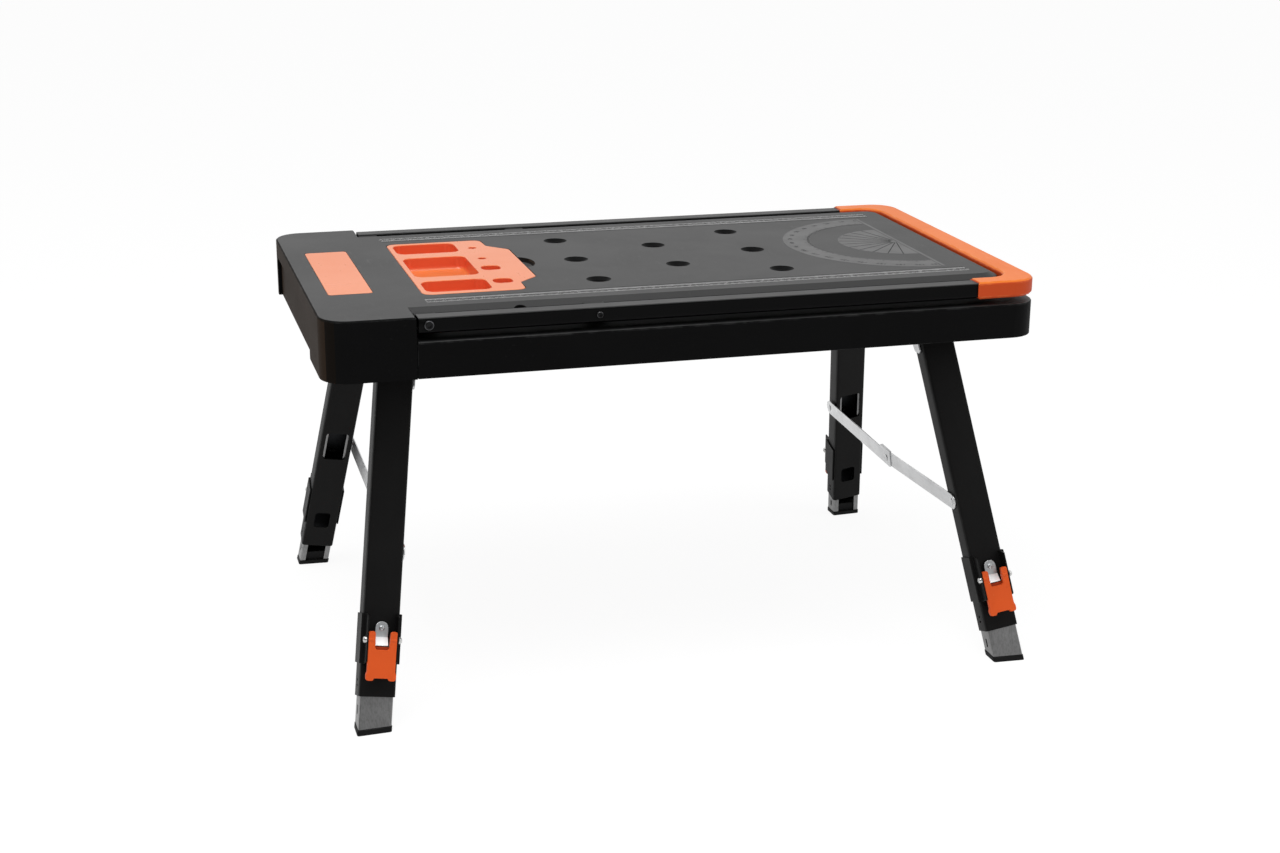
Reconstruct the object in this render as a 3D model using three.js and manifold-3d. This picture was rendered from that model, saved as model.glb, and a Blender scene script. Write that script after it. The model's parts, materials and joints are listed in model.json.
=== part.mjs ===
// Folding workbench with telescopic splayed legs, in millimetres, +Z up.
// The origin is on the floor under the middle of the table, +X runs along its length
// towards the grip end, and +Y points away from the side with the first ruler.

import * as THREE from 'three';
import { mergeVertices } from 'three/addons/utils/BufferGeometryUtils.js';
import Module from 'manifold-3d';

const wasm = await Module();
wasm.setup();

// Overall table
const LENGTH = 971;
const WIDTH = 543;
const HEIGHT = 532;
const BODY_DEPTH = 80;
const CORNER_RADIUS = 38;
const EDGE_ROUND = 2;
const WALL = 4;
const TOP_SKIN = 4;
const CLEARANCE = 0.3;

// End block, deck and skirt
const BLOCK_LENGTH = 118.5;
const SKIRT_HEIGHT = 48;
const SKIRT_LIP_WIDTH = 10;
const SKIRT_LIP_THICKNESS = 3;
const LEDGE_OVERLAP = 6;
const RAIL_CHANNEL_WIDTH = 40.5;
const DECK_BEVEL_WIDTH = 12;
const DECK_BEVEL_DROP = 6;
const DECK_CORNER_RADIUS = 30;
const RIB_HEIGHT = 13;
const RIB_THICKNESS = 3;
const RIB_ROWS_Y = [95, 190];
const RIB_COLUMNS_X = [-430, -130, 100, 235, 330];
const RIB_MARGIN_Y = 17;

// Recess moulded in the end face of the block, and the inlay plate on its top
const END_RECESS_DEPTH = 5;
const END_RECESS_TOP_MARGIN = 24;
const END_RECESS_FRONT_MARGIN = 131.5;
const END_RECESS_REAR_MARGIN = 49.5;
const END_RECESS_RADIUS = 6;
const INLAY_SIZE_X = 58;
const INLAY_SIZE_Y = 256;
const INLAY_THICKNESS = 2.2;
const INLAY_INSET_X = 28.5;
const INLAY_CORNER_RADIUS = 5;

// Dog holes: two outer columns of three and a middle column of two
const DOG_RADIUS = 10;
const DOG_DISH_RADIUS = 17;
const DOG_DISH_DEPTH = 4.5;
const DOG_BOSS_WALL = 4;
const DOG_CENTRE_X = 35;
const DOG_PITCH_X = 130;
const DOG_PITCH_Y = 125;

// Lift-out tool tray
const TRAY_INSET_X = 29;
const TRAY_LENGTH = 138;
const TRAY_HALF_WIDTH = 157;
const TRAY_NOSE_LENGTH = 28;
const TRAY_NOSE_HALF_WIDTH = 87;
const TRAY_NOSE_FLARE = 28;
const TRAY_INNER_RADIUS = 9;
const TRAY_CORNER_RADIUS = 13;
const TRAY_FLANGE = 2.5;
const TRAY_LEDGE = 5;
const TRAY_DEPTH = 19;
const TRAY_WALL = 1.8;
const TRAY_PLAY = 0.5;
const TRAY_FRAME_WALL = 4;
const POCKET_MARGIN_X = 7.5;
const POCKET_LENGTH = 88;
const POCKET_RADIUS = 7;
const SIDE_POCKET_WIDTH = 53;
const SIDE_POCKET_Y = 116;
const MIDDLE_POCKET_WIDTH = 108;
const TRAY_HOLES_X = 117;
const BIT_HOLE_RADIUS = 5.7;
const BIT_HOLE_DEPTH = 14;
const BIT_HOLES_Y = [108, 38];
const CUP_SIZE = 26;
const CUP_RADIUS = 9;
const CUPS_Y = [-22, -101];
const FINGER_LENGTH = 17;
const FINGER_HALF_WIDTH = 31;
const FINGER_DEPTH = 9;
const EDGE_NOTCH_X = -226;
const EDGE_NOTCH_RADIUS = 9;
const EDGE_NOTCH_OUT = 4;
const EDGE_NOTCH_DEPTH = 8;

// Pull-out handle: two side rails, four slide shoes and the end grip
const RAIL_WIDTH = 25;
const RAIL_TALL = 19;
const RAIL_WALL = 1.6;
const RAIL_RADIUS = 2.5;
const RAIL_SETBACK = 2.5;
const RAIL_TOP_DROP = 2.2;
const RAIL_END_GAP = 3;
const GRIP_WIDTH = 34;
const GRIP_DECK_GAP = 2.5;
const GRIP_ARM_LENGTH = 93;
const GRIP_ARM_WIDTH = 30;
const GRIP_TALL = 23.6;
const GRIP_CHAMFER = 3;
const GRIP_INNER_RADIUS = 30;
const GRIP_SOCKET_DEPTH = 60;
const SHOE_LENGTH = 30;
const SHOE_TALL = 16;
const SHOE_HEAD = 5;
const SHOE_NECK_TALL = 8;
const SHOE_FIRST_X = 13;
const SHOE_SECOND_X = 233;
const SLOT_END_MARGIN_X = 116;
const BOLT_SHANK_RADIUS = 3;
const BOLT_HEAD_THICKNESS = 2.2;
const END_BOLT_HEAD_RADIUS = 6.5;
const MID_BOLT_HEAD_RADIUS = 4.5;

// Leg pairs: where they hang and how they lean
const PIVOT_INSET_X = 112.8;
const PIVOT_INSET_Y = 131.7;
const PIVOT_DROP = 52;
const LEAN = THREE.MathUtils.degToRad(8.55);
const SPLAY = THREE.MathUtils.degToRad(19.62);

// Leg tube and the sliding inner channel; windows and slots lie above and below the tube's lower end
const LEG_WIDTH = 48;
const LEG_THICK = 32;
const LEG_WALL = 2;
const LEG_RADIUS = 4;
const LEG_TOP = 8.5;
const TUBE_END_HEIGHT = 40;
const LEG_PLAY = 0.3;
const SPLAY_BOLT_RADIUS = 4.7;
const SPLAY_BOLT_HEAD = 4;
const SPLAY_BOLT_HEAD_RADIUS = 8;
const UPPER_WINDOW = { bottom: 168.4, top: 216.4, width: 34, radius: 5 };
const LOWER_WINDOW = { bottom: 36.4, top: 64.4, width: 23, radius: 4 };
const TUBE_SLOT = { rises: [13.4, 20.4], width: 4, height: 3 };
const CHANNEL_INSIDE = 257.4;
const CHANNEL_WALL = 2;
const CHANNEL_LIP = 8;
const CHANNEL_SLOT = { drop: 11.6, height: 12, width: 5 };
const FOOT_HEIGHT = 7;
const FOOT_RIM = 0.8;
const FOOT_PLUG = 22;
const LOCK_HOLE_PITCH = 40;
const LOCK_HOLE_COUNT = 4;
const LOCK_PIN_RADIUS = 4.2;
const HOLE_PLAY = 0.4;

// Clamp on the lower end of each leg tube: bracket, lever and lock tongue
const CLAMP_TOP_RISE = 106.4;
const CLAMP_BOTTOM_RISE = 42.4;
const CLAMP_SHEET = 2;
const CLAMP_WRAP = 13;
const LOCK_PIN_RISE = 88.4;
const LEVER_PIVOT_RISE = 73.4;
const LEVER_PIVOT_OUT = 14;
const LEVER_WIDTH = 41;
const LEVER_WAIST = 37;
const LEVER_LENGTH = 57;
const LEVER_LOBE = 10.2;
const LEVER_SLOT_WIDTH = 18;
const LEVER_SLOT_DEPTH = 10;
const LEVER_NOTCH_WIDTH = 13;
const LEVER_NOTCH_DEPTH = 3;
const TRUNNION_RADIUS = 3.7;
const EAR_REACH = 7;
const TONGUE_WIDTH = 17;
const TONGUE_SHEET = 2.4;
const TONGUE_FLAT = 20;
const TONGUE_BENT_DROP = 11;
const TONGUE_BENT_OUT = 6;
const RIVET_HEAD_RADIUS = 3;
const RIVET_HEAD_TALL = 1;

// Fold channel that carries a pair of legs, and its two bearing brackets
const FOLD_SHEET = 3;
const FOLD_SIDE_GAP = 0.6;
const FOLD_FLANGE_DROP = 14;
const FOLD_END_Y = 30;
const FOLD_TAB_DROP = 68;
const FOLD_TAB_WIDTH = 30;
const TRUNNION_PIN_RADIUS = 5;
const TRUNNION_PIN_LENGTH = 10;
const BEARING_SHEET = 4;
const BEARING_GAP = 3.3;
const BEARING_WIDTH = 44;
const BEARING_FLANGE = 32;
const BEARING_DROP = 14;
const BEARING_PAD_SIZE = 12;
const BEARING_PAD_SPREAD = 14;

// Folding brace between the legs of a pair
const BRACE_RISE = 186.8;
const BRACE_DIP = 10;
const STRAP_WIDTH = 22;
const STRAP_SHEET = 2;
const STRAP_LEG_GAP = 0.6;
const STRAP_LIP_LENGTH = 34;
const STRAP_LIP_OVERHANG = 13;
const STRAP_RIVET_RADIUS = 3.2;
const STRAP_RIVET_HEAD = 5;
const STRAP_RIVET_HEAD_TALL = 1.2;

const DOG_SIDES = 20;
const ROUND_SIDES = 14;
const SMALL_SIDES = 10;
const CORNER_STEPS = 8;
const ARC_STEPS = 4;
const BEND_STEPS = 2;

// Places worked out from the sizes above
const END_X = LENGTH / 2;
const SIDE_Y = WIDTH / 2;
const BODY_BOTTOM = HEIGHT - BODY_DEPTH;
const LEDGE_Z = BODY_BOTTOM + SKIRT_HEIGHT;
const SKIN_Z = HEIGHT - TOP_SKIN;
const RIB_Z = SKIN_Z - RIB_HEIGHT;
const HAUNCH_Z = SKIN_Z - DECK_BEVEL_DROP;
const BLOCK_X = -END_X + BLOCK_LENGTH;
const DECK_Y = SIDE_Y - RAIL_CHANNEL_WIDTH;
const DECK_X = END_X - GRIP_WIDTH - GRIP_DECK_GAP;
const END_RECESS_FRONT_Y = -SIDE_Y + END_RECESS_FRONT_MARGIN;
const END_RECESS_REAR_Y = SIDE_Y - END_RECESS_REAR_MARGIN;
const TRAY_X = BLOCK_X + TRAY_INSET_X;
const TRAY_FLANGE_Z = HEIGHT - TRAY_FLANGE;
const TRAY_BOTTOM_Z = HEIGHT - TRAY_DEPTH - TRAY_WALL;
const NOSE_X = TRAY_X + TRAY_LENGTH + TRAY_NOSE_LENGTH;
const RAIL_OUTER_Y = SIDE_Y - RAIL_SETBACK;
const RAIL_INNER_Y = RAIL_OUTER_Y - RAIL_WIDTH;
const RAIL_TOP_Z = HEIGHT - RAIL_TOP_DROP;
const RAIL_Z = RAIL_TOP_Z - RAIL_TALL / 2;
const RAIL_X = BLOCK_X + RAIL_END_GAP;
const SLOT_Z = HAUNCH_Z - SHOE_NECK_TALL / 2 - CLEARANCE;
const GRIP_ARM_X = END_X - GRIP_ARM_LENGTH;
const GRIP_BOTTOM_Z = HEIGHT - GRIP_TALL;
const PIVOT_X = END_X - PIVOT_INSET_X;
const PIVOT_Y = SIDE_Y - PIVOT_INSET_Y;
const PIVOT_Z = HEIGHT - PIVOT_DROP;
const LEG_STEEP = Math.cos(LEAN) * Math.cos(SPLAY);
const TUBE_END = (PIVOT_Z - TUBE_END_HEIGHT) / LEG_STEEP;
const CLAMP_TOP = TUBE_END - CLAMP_TOP_RISE;
const CLAMP_BOTTOM = TUBE_END - CLAMP_BOTTOM_RISE;
const LOCK_PIN_AT = TUBE_END - LOCK_PIN_RISE;
const LEVER_PIVOT_AT = TUBE_END - LEVER_PIVOT_RISE;
const BRACE_AT = TUBE_END - BRACE_RISE;
const HALF_LEG = LEG_WIDTH / 2;
const HALF_THICK = LEG_THICK / 2;
const CHANNEL_HALF_X = HALF_LEG - LEG_WALL - LEG_PLAY;
const CHANNEL_HALF_Y = HALF_THICK - LEG_WALL - LEG_PLAY;
const CLAMP_FACE = HALF_THICK + CLEARANCE;
const CLAMP_OUT = CLAMP_FACE + CLAMP_SHEET;
const CLAMP_SIDE = HALF_LEG + CLEARANCE;
const LEVER_OUT = HALF_THICK + LEVER_PIVOT_OUT;
const FOLD_SIDE = HALF_LEG + FOLD_SIDE_GAP;
const FOLD_TOP = LEG_TOP * Math.cos(SPLAY) + HALF_THICK * Math.sin(SPLAY) + CLEARANCE + FOLD_SHEET;
const FOLD_END = PIVOT_Y + FOLD_END_Y;
const BRACE_Y = PIVOT_Y + BRACE_AT * Math.sin(SPLAY);
const BRACE_Z = -BRACE_AT * Math.cos(SPLAY);
const STRAP_LENGTH = Math.hypot(BRACE_Y, BRACE_DIP);
const STRAP_SLOPE = Math.atan2(BRACE_DIP, BRACE_Y);
const STRAP_INNER_X = HALF_LEG + STRAP_LEG_GAP;
const STRAP_OUTER_X = STRAP_INNER_X + STRAP_SHEET + CLEARANCE;

// Colours and finishes
const FINISH = {
  blackPlastic: { color: 0x1d1e1f, roughness: 0.62, metalness: 0 },
  deckPlastic: { color: 0x3b3d3e, roughness: 0.7, metalness: 0 },
  orangePlastic: { color: 0xe8561c, roughness: 0.48, metalness: 0 },
  blackSteel: { color: 0x141415, roughness: 0.5, metalness: 0.3 },
  zincSteel: { color: 0xb9bcbd, roughness: 0.34, metalness: 0.9 },
  greySteel: { color: 0x8b8d8e, roughness: 0.42, metalness: 0.85 },
  blackRubber: { color: 0x161616, roughness: 0.85, metalness: 0 },
};

// Points of a closed outline whose corners [x, y, radius, steps] are rounded by arcs
function filleted(corners, steps = ARC_STEPS) {
  const points = [];
  corners.forEach(([x, y, radius, arc = steps], i) => {
    const here = new THREE.Vector2(x, y);
    if (!radius) {
      points.push(here);
      return;
    }
    const before = corners[(i + corners.length - 1) % corners.length];
    const after = corners[(i + 1) % corners.length];
    const back = new THREE.Vector2(before[0], before[1]).sub(here).normalize();
    const ahead = new THREE.Vector2(after[0], after[1]).sub(here).normalize();
    const half = Math.acos(THREE.MathUtils.clamp(back.dot(ahead), -1, 1)) / 2;
    const centre = back.clone().add(ahead).normalize().multiplyScalar(radius / Math.sin(half)).add(here);
    const start = back.multiplyScalar(radius / Math.tan(half)).add(here).sub(centre);
    const end = ahead.multiplyScalar(radius / Math.tan(half)).add(here).sub(centre);
    const sweep = Math.atan2(start.cross(end), start.dot(end));
    for (let k = 0; k <= arc; k += 1) {
      points.push(start.clone().rotateAround(new THREE.Vector2(), (sweep * k) / arc).add(centre));
    }
  });
  return points;
}

function rectangle(x0, x1, y0, y1, radius = 0, steps = ARC_STEPS) {
  return filleted([[x0, y0, radius], [x1, y0, radius], [x1, y1, radius], [x0, y1, radius]], steps);
}

// A straight extrusion of an outline in X and Y
function alongZ(outline, z0, z1, holes = []) {
  const shape = new THREE.Shape(outline);
  shape.holes = holes.map((hole) => new THREE.Path(hole));
  const geometry = new THREE.ExtrudeGeometry(shape, { depth: z1 - z0, bevelEnabled: false });
  return geometry.translate(0, 0, z0);
}

// An extrusion along X of an outline in Y and Z
function alongX(outline, x0, x1, holes = []) {
  const turn = new THREE.Matrix4().makeBasis(
    new THREE.Vector3(0, 1, 0), new THREE.Vector3(0, 0, 1), new THREE.Vector3(1, 0, 0));
  return alongZ(outline, x0, x1, holes).applyMatrix4(turn);
}

// An extrusion along Y of an outline in X and Z
function alongY(outline, y0, y1, holes = []) {
  const turn = new THREE.Matrix4().makeBasis(
    new THREE.Vector3(1, 0, 0), new THREE.Vector3(0, 0, 1), new THREE.Vector3(0, -1, 0));
  return alongZ(outline, -y1, -y0, holes).applyMatrix4(turn);
}

function box(x0, x1, y0, y1, z0, z1) {
  return new THREE.BoxGeometry(Math.abs(x1 - x0), Math.abs(y1 - y0), Math.abs(z1 - z0))
    .translate((x0 + x1) / 2, (y0 + y1) / 2, (z0 + z1) / 2);
}

// Round bars along each axis, given their two ends and the middle of their section
function rodX(radius, x0, x1, y, z, sides = ROUND_SIDES) {
  return new THREE.CylinderGeometry(radius, radius, Math.abs(x1 - x0), sides)
    .rotateZ(Math.PI / 2).translate((x0 + x1) / 2, y, z);
}

function rodY(radius, y0, y1, x, z, sides = ROUND_SIDES) {
  return new THREE.CylinderGeometry(radius, radius, Math.abs(y1 - y0), sides)
    .translate(x, (y0 + y1) / 2, z);
}

function rodZ(radius, z0, z1, x, y, sides = ROUND_SIDES, topRadius = radius) {
  return new THREE.CylinderGeometry(topRadius, radius, z1 - z0, sides)
    .rotateX(Math.PI / 2).translate(x, y, (z0 + z1) / 2);
}

// A closed skin over rings of equal point counts, each ring being [outline, height of a point]
function loft(rings) {
  const count = rings[0][0].length;
  const positions = [];
  for (const [outline, height] of rings) {
    for (const p of outline) {
      positions.push(p.x, p.y, typeof height === 'function' ? height(p.x, p.y) : height);
    }
  }
  const indices = [];
  for (let ring = 0; ring + 1 < rings.length; ring += 1) {
    for (let i = 0; i < count; i += 1) {
      const a = ring * count + i;
      const b = ring * count + ((i + 1) % count);
      indices.push(a, b, b + count, a, b + count, a + count);
    }
  }
  for (const face of THREE.ShapeUtils.triangulateShape(rings[0][0], [])) {
    indices.push(face[0], face[2], face[1]);
  }
  const top = (rings.length - 1) * count;
  for (const face of THREE.ShapeUtils.triangulateShape(rings[rings.length - 1][0], [])) {
    indices.push(top + face[0], top + face[1], top + face[2]);
  }
  const geometry = new THREE.BufferGeometry();
  geometry.setAttribute('position', new THREE.Float32BufferAttribute(positions, 3));
  geometry.setIndex(indices);
  return geometry;
}

function solid(shape) {
  if (!shape.isBufferGeometry) return shape;
  const bare = shape.clone();
  bare.deleteAttribute('normal');
  bare.deleteAttribute('uv');
  const merged = mergeVertices(bare, 1e-4);
  return new wasm.Manifold(new wasm.Mesh({
    numProp: 3,
    vertProperties: new Float32Array(merged.getAttribute('position').array),
    triVerts: new Uint32Array(merged.getIndex().array),
  }));
}

function join(...shapes) {
  return shapes.map(solid).reduce((whole, next) => whole.add(next));
}

function cut(shape, ...tools) {
  return tools.map(solid).reduce((rest, tool) => rest.subtract(tool), solid(shape));
}

function common(shape, other) {
  return solid(shape).intersect(solid(other));
}

function geometryOf(shape) {
  if (shape.isBufferGeometry) return shape;
  const mesh = shape.getMesh();
  const geometry = new THREE.BufferGeometry();
  geometry.setAttribute('position', new THREE.BufferAttribute(new Float32Array(mesh.vertProperties), 3));
  geometry.setIndex(new THREE.BufferAttribute(new Uint32Array(mesh.triVerts), 1));
  geometry.computeVertexNormals();
  return geometry;
}

function addPart(parent, name, shape, finish) {
  const mesh = new THREE.Mesh(geometryOf(shape), new THREE.MeshStandardMaterial(finish));
  mesh.name = name;
  parent.add(mesh);
  return mesh;
}

// Outlines of the moulded body, drawn in by an inset
function blockOutline(inset) {
  const corner = Math.max(CORNER_RADIUS - inset, 1);
  return filleted([
    [-END_X + inset, -SIDE_Y + inset, corner, CORNER_STEPS],
    [BLOCK_X - inset, -SIDE_Y + inset, 1],
    [BLOCK_X - inset, SIDE_Y - inset, 1],
    [-END_X + inset, SIDE_Y - inset, corner, CORNER_STEPS],
  ]);
}

function deckOutline(inset, startX) {
  const corner = Math.max(DECK_CORNER_RADIUS - inset, 1);
  return filleted([
    [startX, -DECK_Y + inset, 0],
    [DECK_X - inset, -DECK_Y + inset, corner, CORNER_STEPS],
    [DECK_X - inset, DECK_Y - inset, corner, CORNER_STEPS],
    [startX, DECK_Y - inset, 0],
  ]);
}

function skirtOutline(inset) {
  const corner = Math.max(CORNER_RADIUS - inset, 1);
  return filleted([
    [BLOCK_X + CLEARANCE + inset, -SIDE_Y + inset, 0],
    [END_X - inset, -SIDE_Y + inset, corner, CORNER_STEPS],
    [END_X - inset, SIDE_Y - inset, corner, CORNER_STEPS],
    [BLOCK_X + CLEARANCE + inset, SIDE_Y - inset, 0],
  ]);
}

// Tray outline: a wide body with slanted shoulders and a nose towards the dog holes
function trayOutline(inset) {
  const left = TRAY_X + inset;
  const right = TRAY_X + TRAY_LENGTH - inset;
  const nose = NOSE_X - inset;
  const side = TRAY_HALF_WIDTH - inset;
  const slant = Math.hypot(TRAY_NOSE_LENGTH, TRAY_NOSE_FLARE);
  const noseSide = TRAY_NOSE_HALF_WIDTH - (inset * (slant - TRAY_NOSE_FLARE)) / TRAY_NOSE_LENGTH;
  const baseSide = noseSide + TRAY_NOSE_FLARE;
  const outer = Math.max(TRAY_CORNER_RADIUS - inset, 2);
  const inner = TRAY_INNER_RADIUS + inset;
  return filleted([
    [left, -side, outer],
    [right, -side, outer],
    [right, -baseSide, inner],
    [nose, -noseSide, outer],
    [nose, noseSide, outer],
    [right, baseSide, inner],
    [right, side, outer],
    [left, side, outer],
  ]);
}

function dogPlaces() {
  const places = [];
  for (const column of [-1, 0, 1]) {
    const rows = column === 0 ? [-0.5, 0.5] : [-1, 0, 1];
    for (const row of rows) {
      places.push([DOG_CENTRE_X + column * DOG_PITCH_X, row * DOG_PITCH_Y]);
    }
  }
  return places;
}

// Deck and end block in one moulding, open underneath, with ribs, bosses and the tray well
function tableTop() {
  const inBlock = BLOCK_X - WALL * 5;
  const shell = join(
    loft([
      [blockOutline(0), BODY_BOTTOM],
      [blockOutline(0), HEIGHT - EDGE_ROUND],
      [blockOutline(EDGE_ROUND), HEIGHT],
    ]),
    loft([
      [deckOutline(0, inBlock), LEDGE_Z + CLEARANCE],
      [deckOutline(0, inBlock), HEIGHT - DECK_BEVEL_DROP],
      [deckOutline(DECK_BEVEL_WIDTH, inBlock), HEIGHT],
    ]),
  );
  const cavity = join(
    alongZ(blockOutline(WALL), BODY_BOTTOM - WALL, SKIN_Z),
    loft([
      [deckOutline(WALL, inBlock - WALL), LEDGE_Z - WALL],
      [deckOutline(WALL, inBlock - WALL), HAUNCH_Z],
      [deckOutline(WALL + DECK_BEVEL_WIDTH, inBlock - WALL), SKIN_Z],
    ]),
    box(inBlock, BLOCK_X + WALL, -DECK_Y + WALL * 2, DECK_Y - WALL * 2, BODY_BOTTOM - WALL, LEDGE_Z),
  );
  const grip = TOP_SKIN / 4;
  const ribs = [];
  for (const y of RIB_ROWS_Y.flatMap((row) => [-row, row])) {
    ribs.push(box(-END_X + WALL - grip, DECK_X - DECK_BEVEL_WIDTH - WALL,
      y - RIB_THICKNESS / 2, y + RIB_THICKNESS / 2, RIB_Z, SKIN_Z + grip));
  }
  for (const x of RIB_COLUMNS_X) {
    ribs.push(box(x - RIB_THICKNESS / 2, x + RIB_THICKNESS / 2, -DECK_Y + RIB_MARGIN_Y, DECK_Y - RIB_MARGIN_Y,
      RIB_Z, SKIN_Z + grip));
  }
  for (const [x, y] of dogPlaces()) {
    ribs.push(rodZ(DOG_RADIUS + DOG_BOSS_WALL, RIB_Z, SKIN_Z + grip, x, y, SMALL_SIDES));
  }
  for (const side of [-1, 1]) {
    for (const row of [-1, 1]) {
      for (const spread of [-BEARING_PAD_SPREAD, BEARING_PAD_SPREAD]) {
        const x = side * PIVOT_X + spread;
        const y = row * (FOLD_END + BEARING_GAP + BEARING_FLANGE - BEARING_PAD_SIZE);
        ribs.push(rodZ(BEARING_PAD_SIZE / 2, RIB_Z, SKIN_Z + grip, x, y, SMALL_SIDES));
      }
    }
  }
  ribs.push(alongZ(trayOutline(-TRAY_FRAME_WALL), RIB_Z, SKIN_Z + grip));
  ribs.push(box(NOSE_X, NOSE_X + FINGER_LENGTH + WALL, -FINGER_HALF_WIDTH - WALL, FINGER_HALF_WIDTH + WALL,
    RIB_Z, SKIN_Z + grip));
  const cuts = [
    alongZ(trayOutline(-TRAY_PLAY), TRAY_FLANGE_Z - CLEARANCE, HEIGHT + WALL),
    alongZ(trayOutline(TRAY_LEDGE), RIB_Z - WALL, HEIGHT),
    new THREE.SphereGeometry(1, DOG_SIDES, SMALL_SIDES)
      .rotateX(Math.PI / 2)
      .scale(FINGER_LENGTH, FINGER_HALF_WIDTH, FINGER_DEPTH)
      .translate(NOSE_X, 0, HEIGHT),
    alongZ(
      rectangle(-END_X + INLAY_INSET_X - CLEARANCE, -END_X + INLAY_INSET_X + INLAY_SIZE_X + CLEARANCE,
        -INLAY_SIZE_Y / 2 - CLEARANCE, INLAY_SIZE_Y / 2 + CLEARANCE, INLAY_CORNER_RADIUS),
      HEIGHT - INLAY_THICKNESS - CLEARANCE, HEIGHT + WALL),
    alongX(
      filleted([
        [END_RECESS_FRONT_Y, BODY_BOTTOM - WALL, 0],
        [END_RECESS_REAR_Y, BODY_BOTTOM - WALL, 0],
        [END_RECESS_REAR_Y, HEIGHT - END_RECESS_TOP_MARGIN, END_RECESS_RADIUS],
        [END_RECESS_FRONT_Y, HEIGHT - END_RECESS_TOP_MARGIN, END_RECESS_RADIUS],
      ]),
      -END_X - WALL, -END_X + END_RECESS_DEPTH),
    rodZ(EDGE_NOTCH_RADIUS, HEIGHT - EDGE_NOTCH_DEPTH, HEIGHT + WALL, EDGE_NOTCH_X,
      -DECK_Y - EDGE_NOTCH_OUT, DOG_SIDES),
  ];
  for (const [x, y] of dogPlaces()) {
    cuts.push(rodZ(DOG_RADIUS, RIB_Z - WALL, HEIGHT + WALL, x, y, DOG_SIDES));
    const flare = (DOG_DISH_RADIUS - DOG_RADIUS) / DOG_DISH_DEPTH;
    const rim = DOG_DISH_RADIUS + flare;
    cuts.push(rodZ(DOG_RADIUS, HEIGHT - DOG_DISH_DEPTH, HEIGHT + 1, x, y, DOG_SIDES, rim));
  }
  for (const side of [-1, 1]) {
    cuts.push(box(RAIL_X, DECK_X - SLOT_END_MARGIN_X, side * (DECK_Y - WALL - 1), side * (DECK_Y + 1),
      SLOT_Z - SHOE_NECK_TALL / 2, SLOT_Z + SHOE_NECK_TALL / 2));
  }
  const backing = alongX(
    filleted([
      [END_RECESS_FRONT_Y - WALL, BODY_BOTTOM, 0],
      [END_RECESS_REAR_Y + WALL, BODY_BOTTOM, 0],
      [END_RECESS_REAR_Y + WALL, HEIGHT - END_RECESS_TOP_MARGIN + WALL, 0],
      [END_RECESS_FRONT_Y - WALL, HEIGHT - END_RECESS_TOP_MARGIN + WALL, 0],
    ]),
    -END_X + WALL - grip, -END_X + WALL + END_RECESS_DEPTH);
  return cut(join(cut(shell, cavity), backing, ...ribs), ...cuts);
}

// Lower frame: outer wall, ledge under the rails and a lip round the bottom
function skirt() {
  const outer = loft([
    [skirtOutline(0), BODY_BOTTOM],
    [skirtOutline(0), LEDGE_Z - EDGE_ROUND],
    [skirtOutline(EDGE_ROUND), LEDGE_Z],
  ]);
  const ledgeY = DECK_Y - LEDGE_OVERLAP;
  const ledgeX = DECK_X - LEDGE_OVERLAP;
  const ledgeCorner = Math.max(DECK_CORNER_RADIUS - LEDGE_OVERLAP, 1);
  const opening = filleted([
    [BLOCK_X - WALL, -ledgeY, 0],
    [ledgeX, -ledgeY, ledgeCorner],
    [ledgeX, ledgeY, ledgeCorner],
    [BLOCK_X - WALL, ledgeY, 0],
  ]);
  return cut(
    outer,
    alongZ(skirtOutline(WALL), BODY_BOTTOM + SKIRT_LIP_THICKNESS, LEDGE_Z - WALL),
    alongZ(skirtOutline(WALL + SKIRT_LIP_WIDTH), BODY_BOTTOM - WALL, BODY_BOTTOM + WALL),
    alongZ(opening, BODY_BOTTOM - WALL, LEDGE_Z + WALL),
  );
}

function inlayPlate() {
  const x0 = -END_X + INLAY_INSET_X;
  return alongZ(
    rectangle(x0, x0 + INLAY_SIZE_X, -INLAY_SIZE_Y / 2, INLAY_SIZE_Y / 2, INLAY_CORNER_RADIUS),
    HEIGHT - INLAY_THICKNESS, HEIGHT);
}

// Tool tray: a flange with thin-walled pockets and cups hanging below it
function toolTray() {
  const pockets = [
    [SIDE_POCKET_Y, SIDE_POCKET_WIDTH],
    [0, MIDDLE_POCKET_WIDTH],
    [-SIDE_POCKET_Y, SIDE_POCKET_WIDTH],
  ];
  const x0 = TRAY_X + POCKET_MARGIN_X;
  const holesX = TRAY_X + TRAY_HOLES_X;
  const walls = [];
  const hollows = [];
  for (const [y, width] of pockets) {
    const grow = (by) => rectangle(x0 - by, x0 + POCKET_LENGTH + by, y - width / 2 - by, y + width / 2 + by,
      POCKET_RADIUS + by);
    walls.push(alongZ(grow(TRAY_WALL), TRAY_BOTTOM_Z, TRAY_FLANGE_Z + 1));
    hollows.push(alongZ(grow(0), HEIGHT - TRAY_DEPTH, HEIGHT + 1));
  }
  for (const y of CUPS_Y) {
    const half = CUP_SIZE / 2;
    const grow = (by) => rectangle(holesX - half - by, holesX + half + by, y - half - by, y + half + by,
      CUP_RADIUS + by);
    walls.push(alongZ(grow(TRAY_WALL), TRAY_BOTTOM_Z, TRAY_FLANGE_Z + 1));
    hollows.push(alongZ(grow(0), HEIGHT - TRAY_DEPTH, HEIGHT + 1));
  }
  for (const y of BIT_HOLES_Y) {
    walls.push(rodZ(BIT_HOLE_RADIUS + TRAY_WALL, HEIGHT - BIT_HOLE_DEPTH - TRAY_WALL, TRAY_FLANGE_Z + 1,
      holesX, y));
    hollows.push(rodZ(BIT_HOLE_RADIUS, HEIGHT - BIT_HOLE_DEPTH, HEIGHT + 1, holesX, y));
  }
  const flange = alongZ(trayOutline(0), TRAY_FLANGE_Z, HEIGHT);
  return cut(join(flange, ...walls), ...hollows);
}

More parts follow.
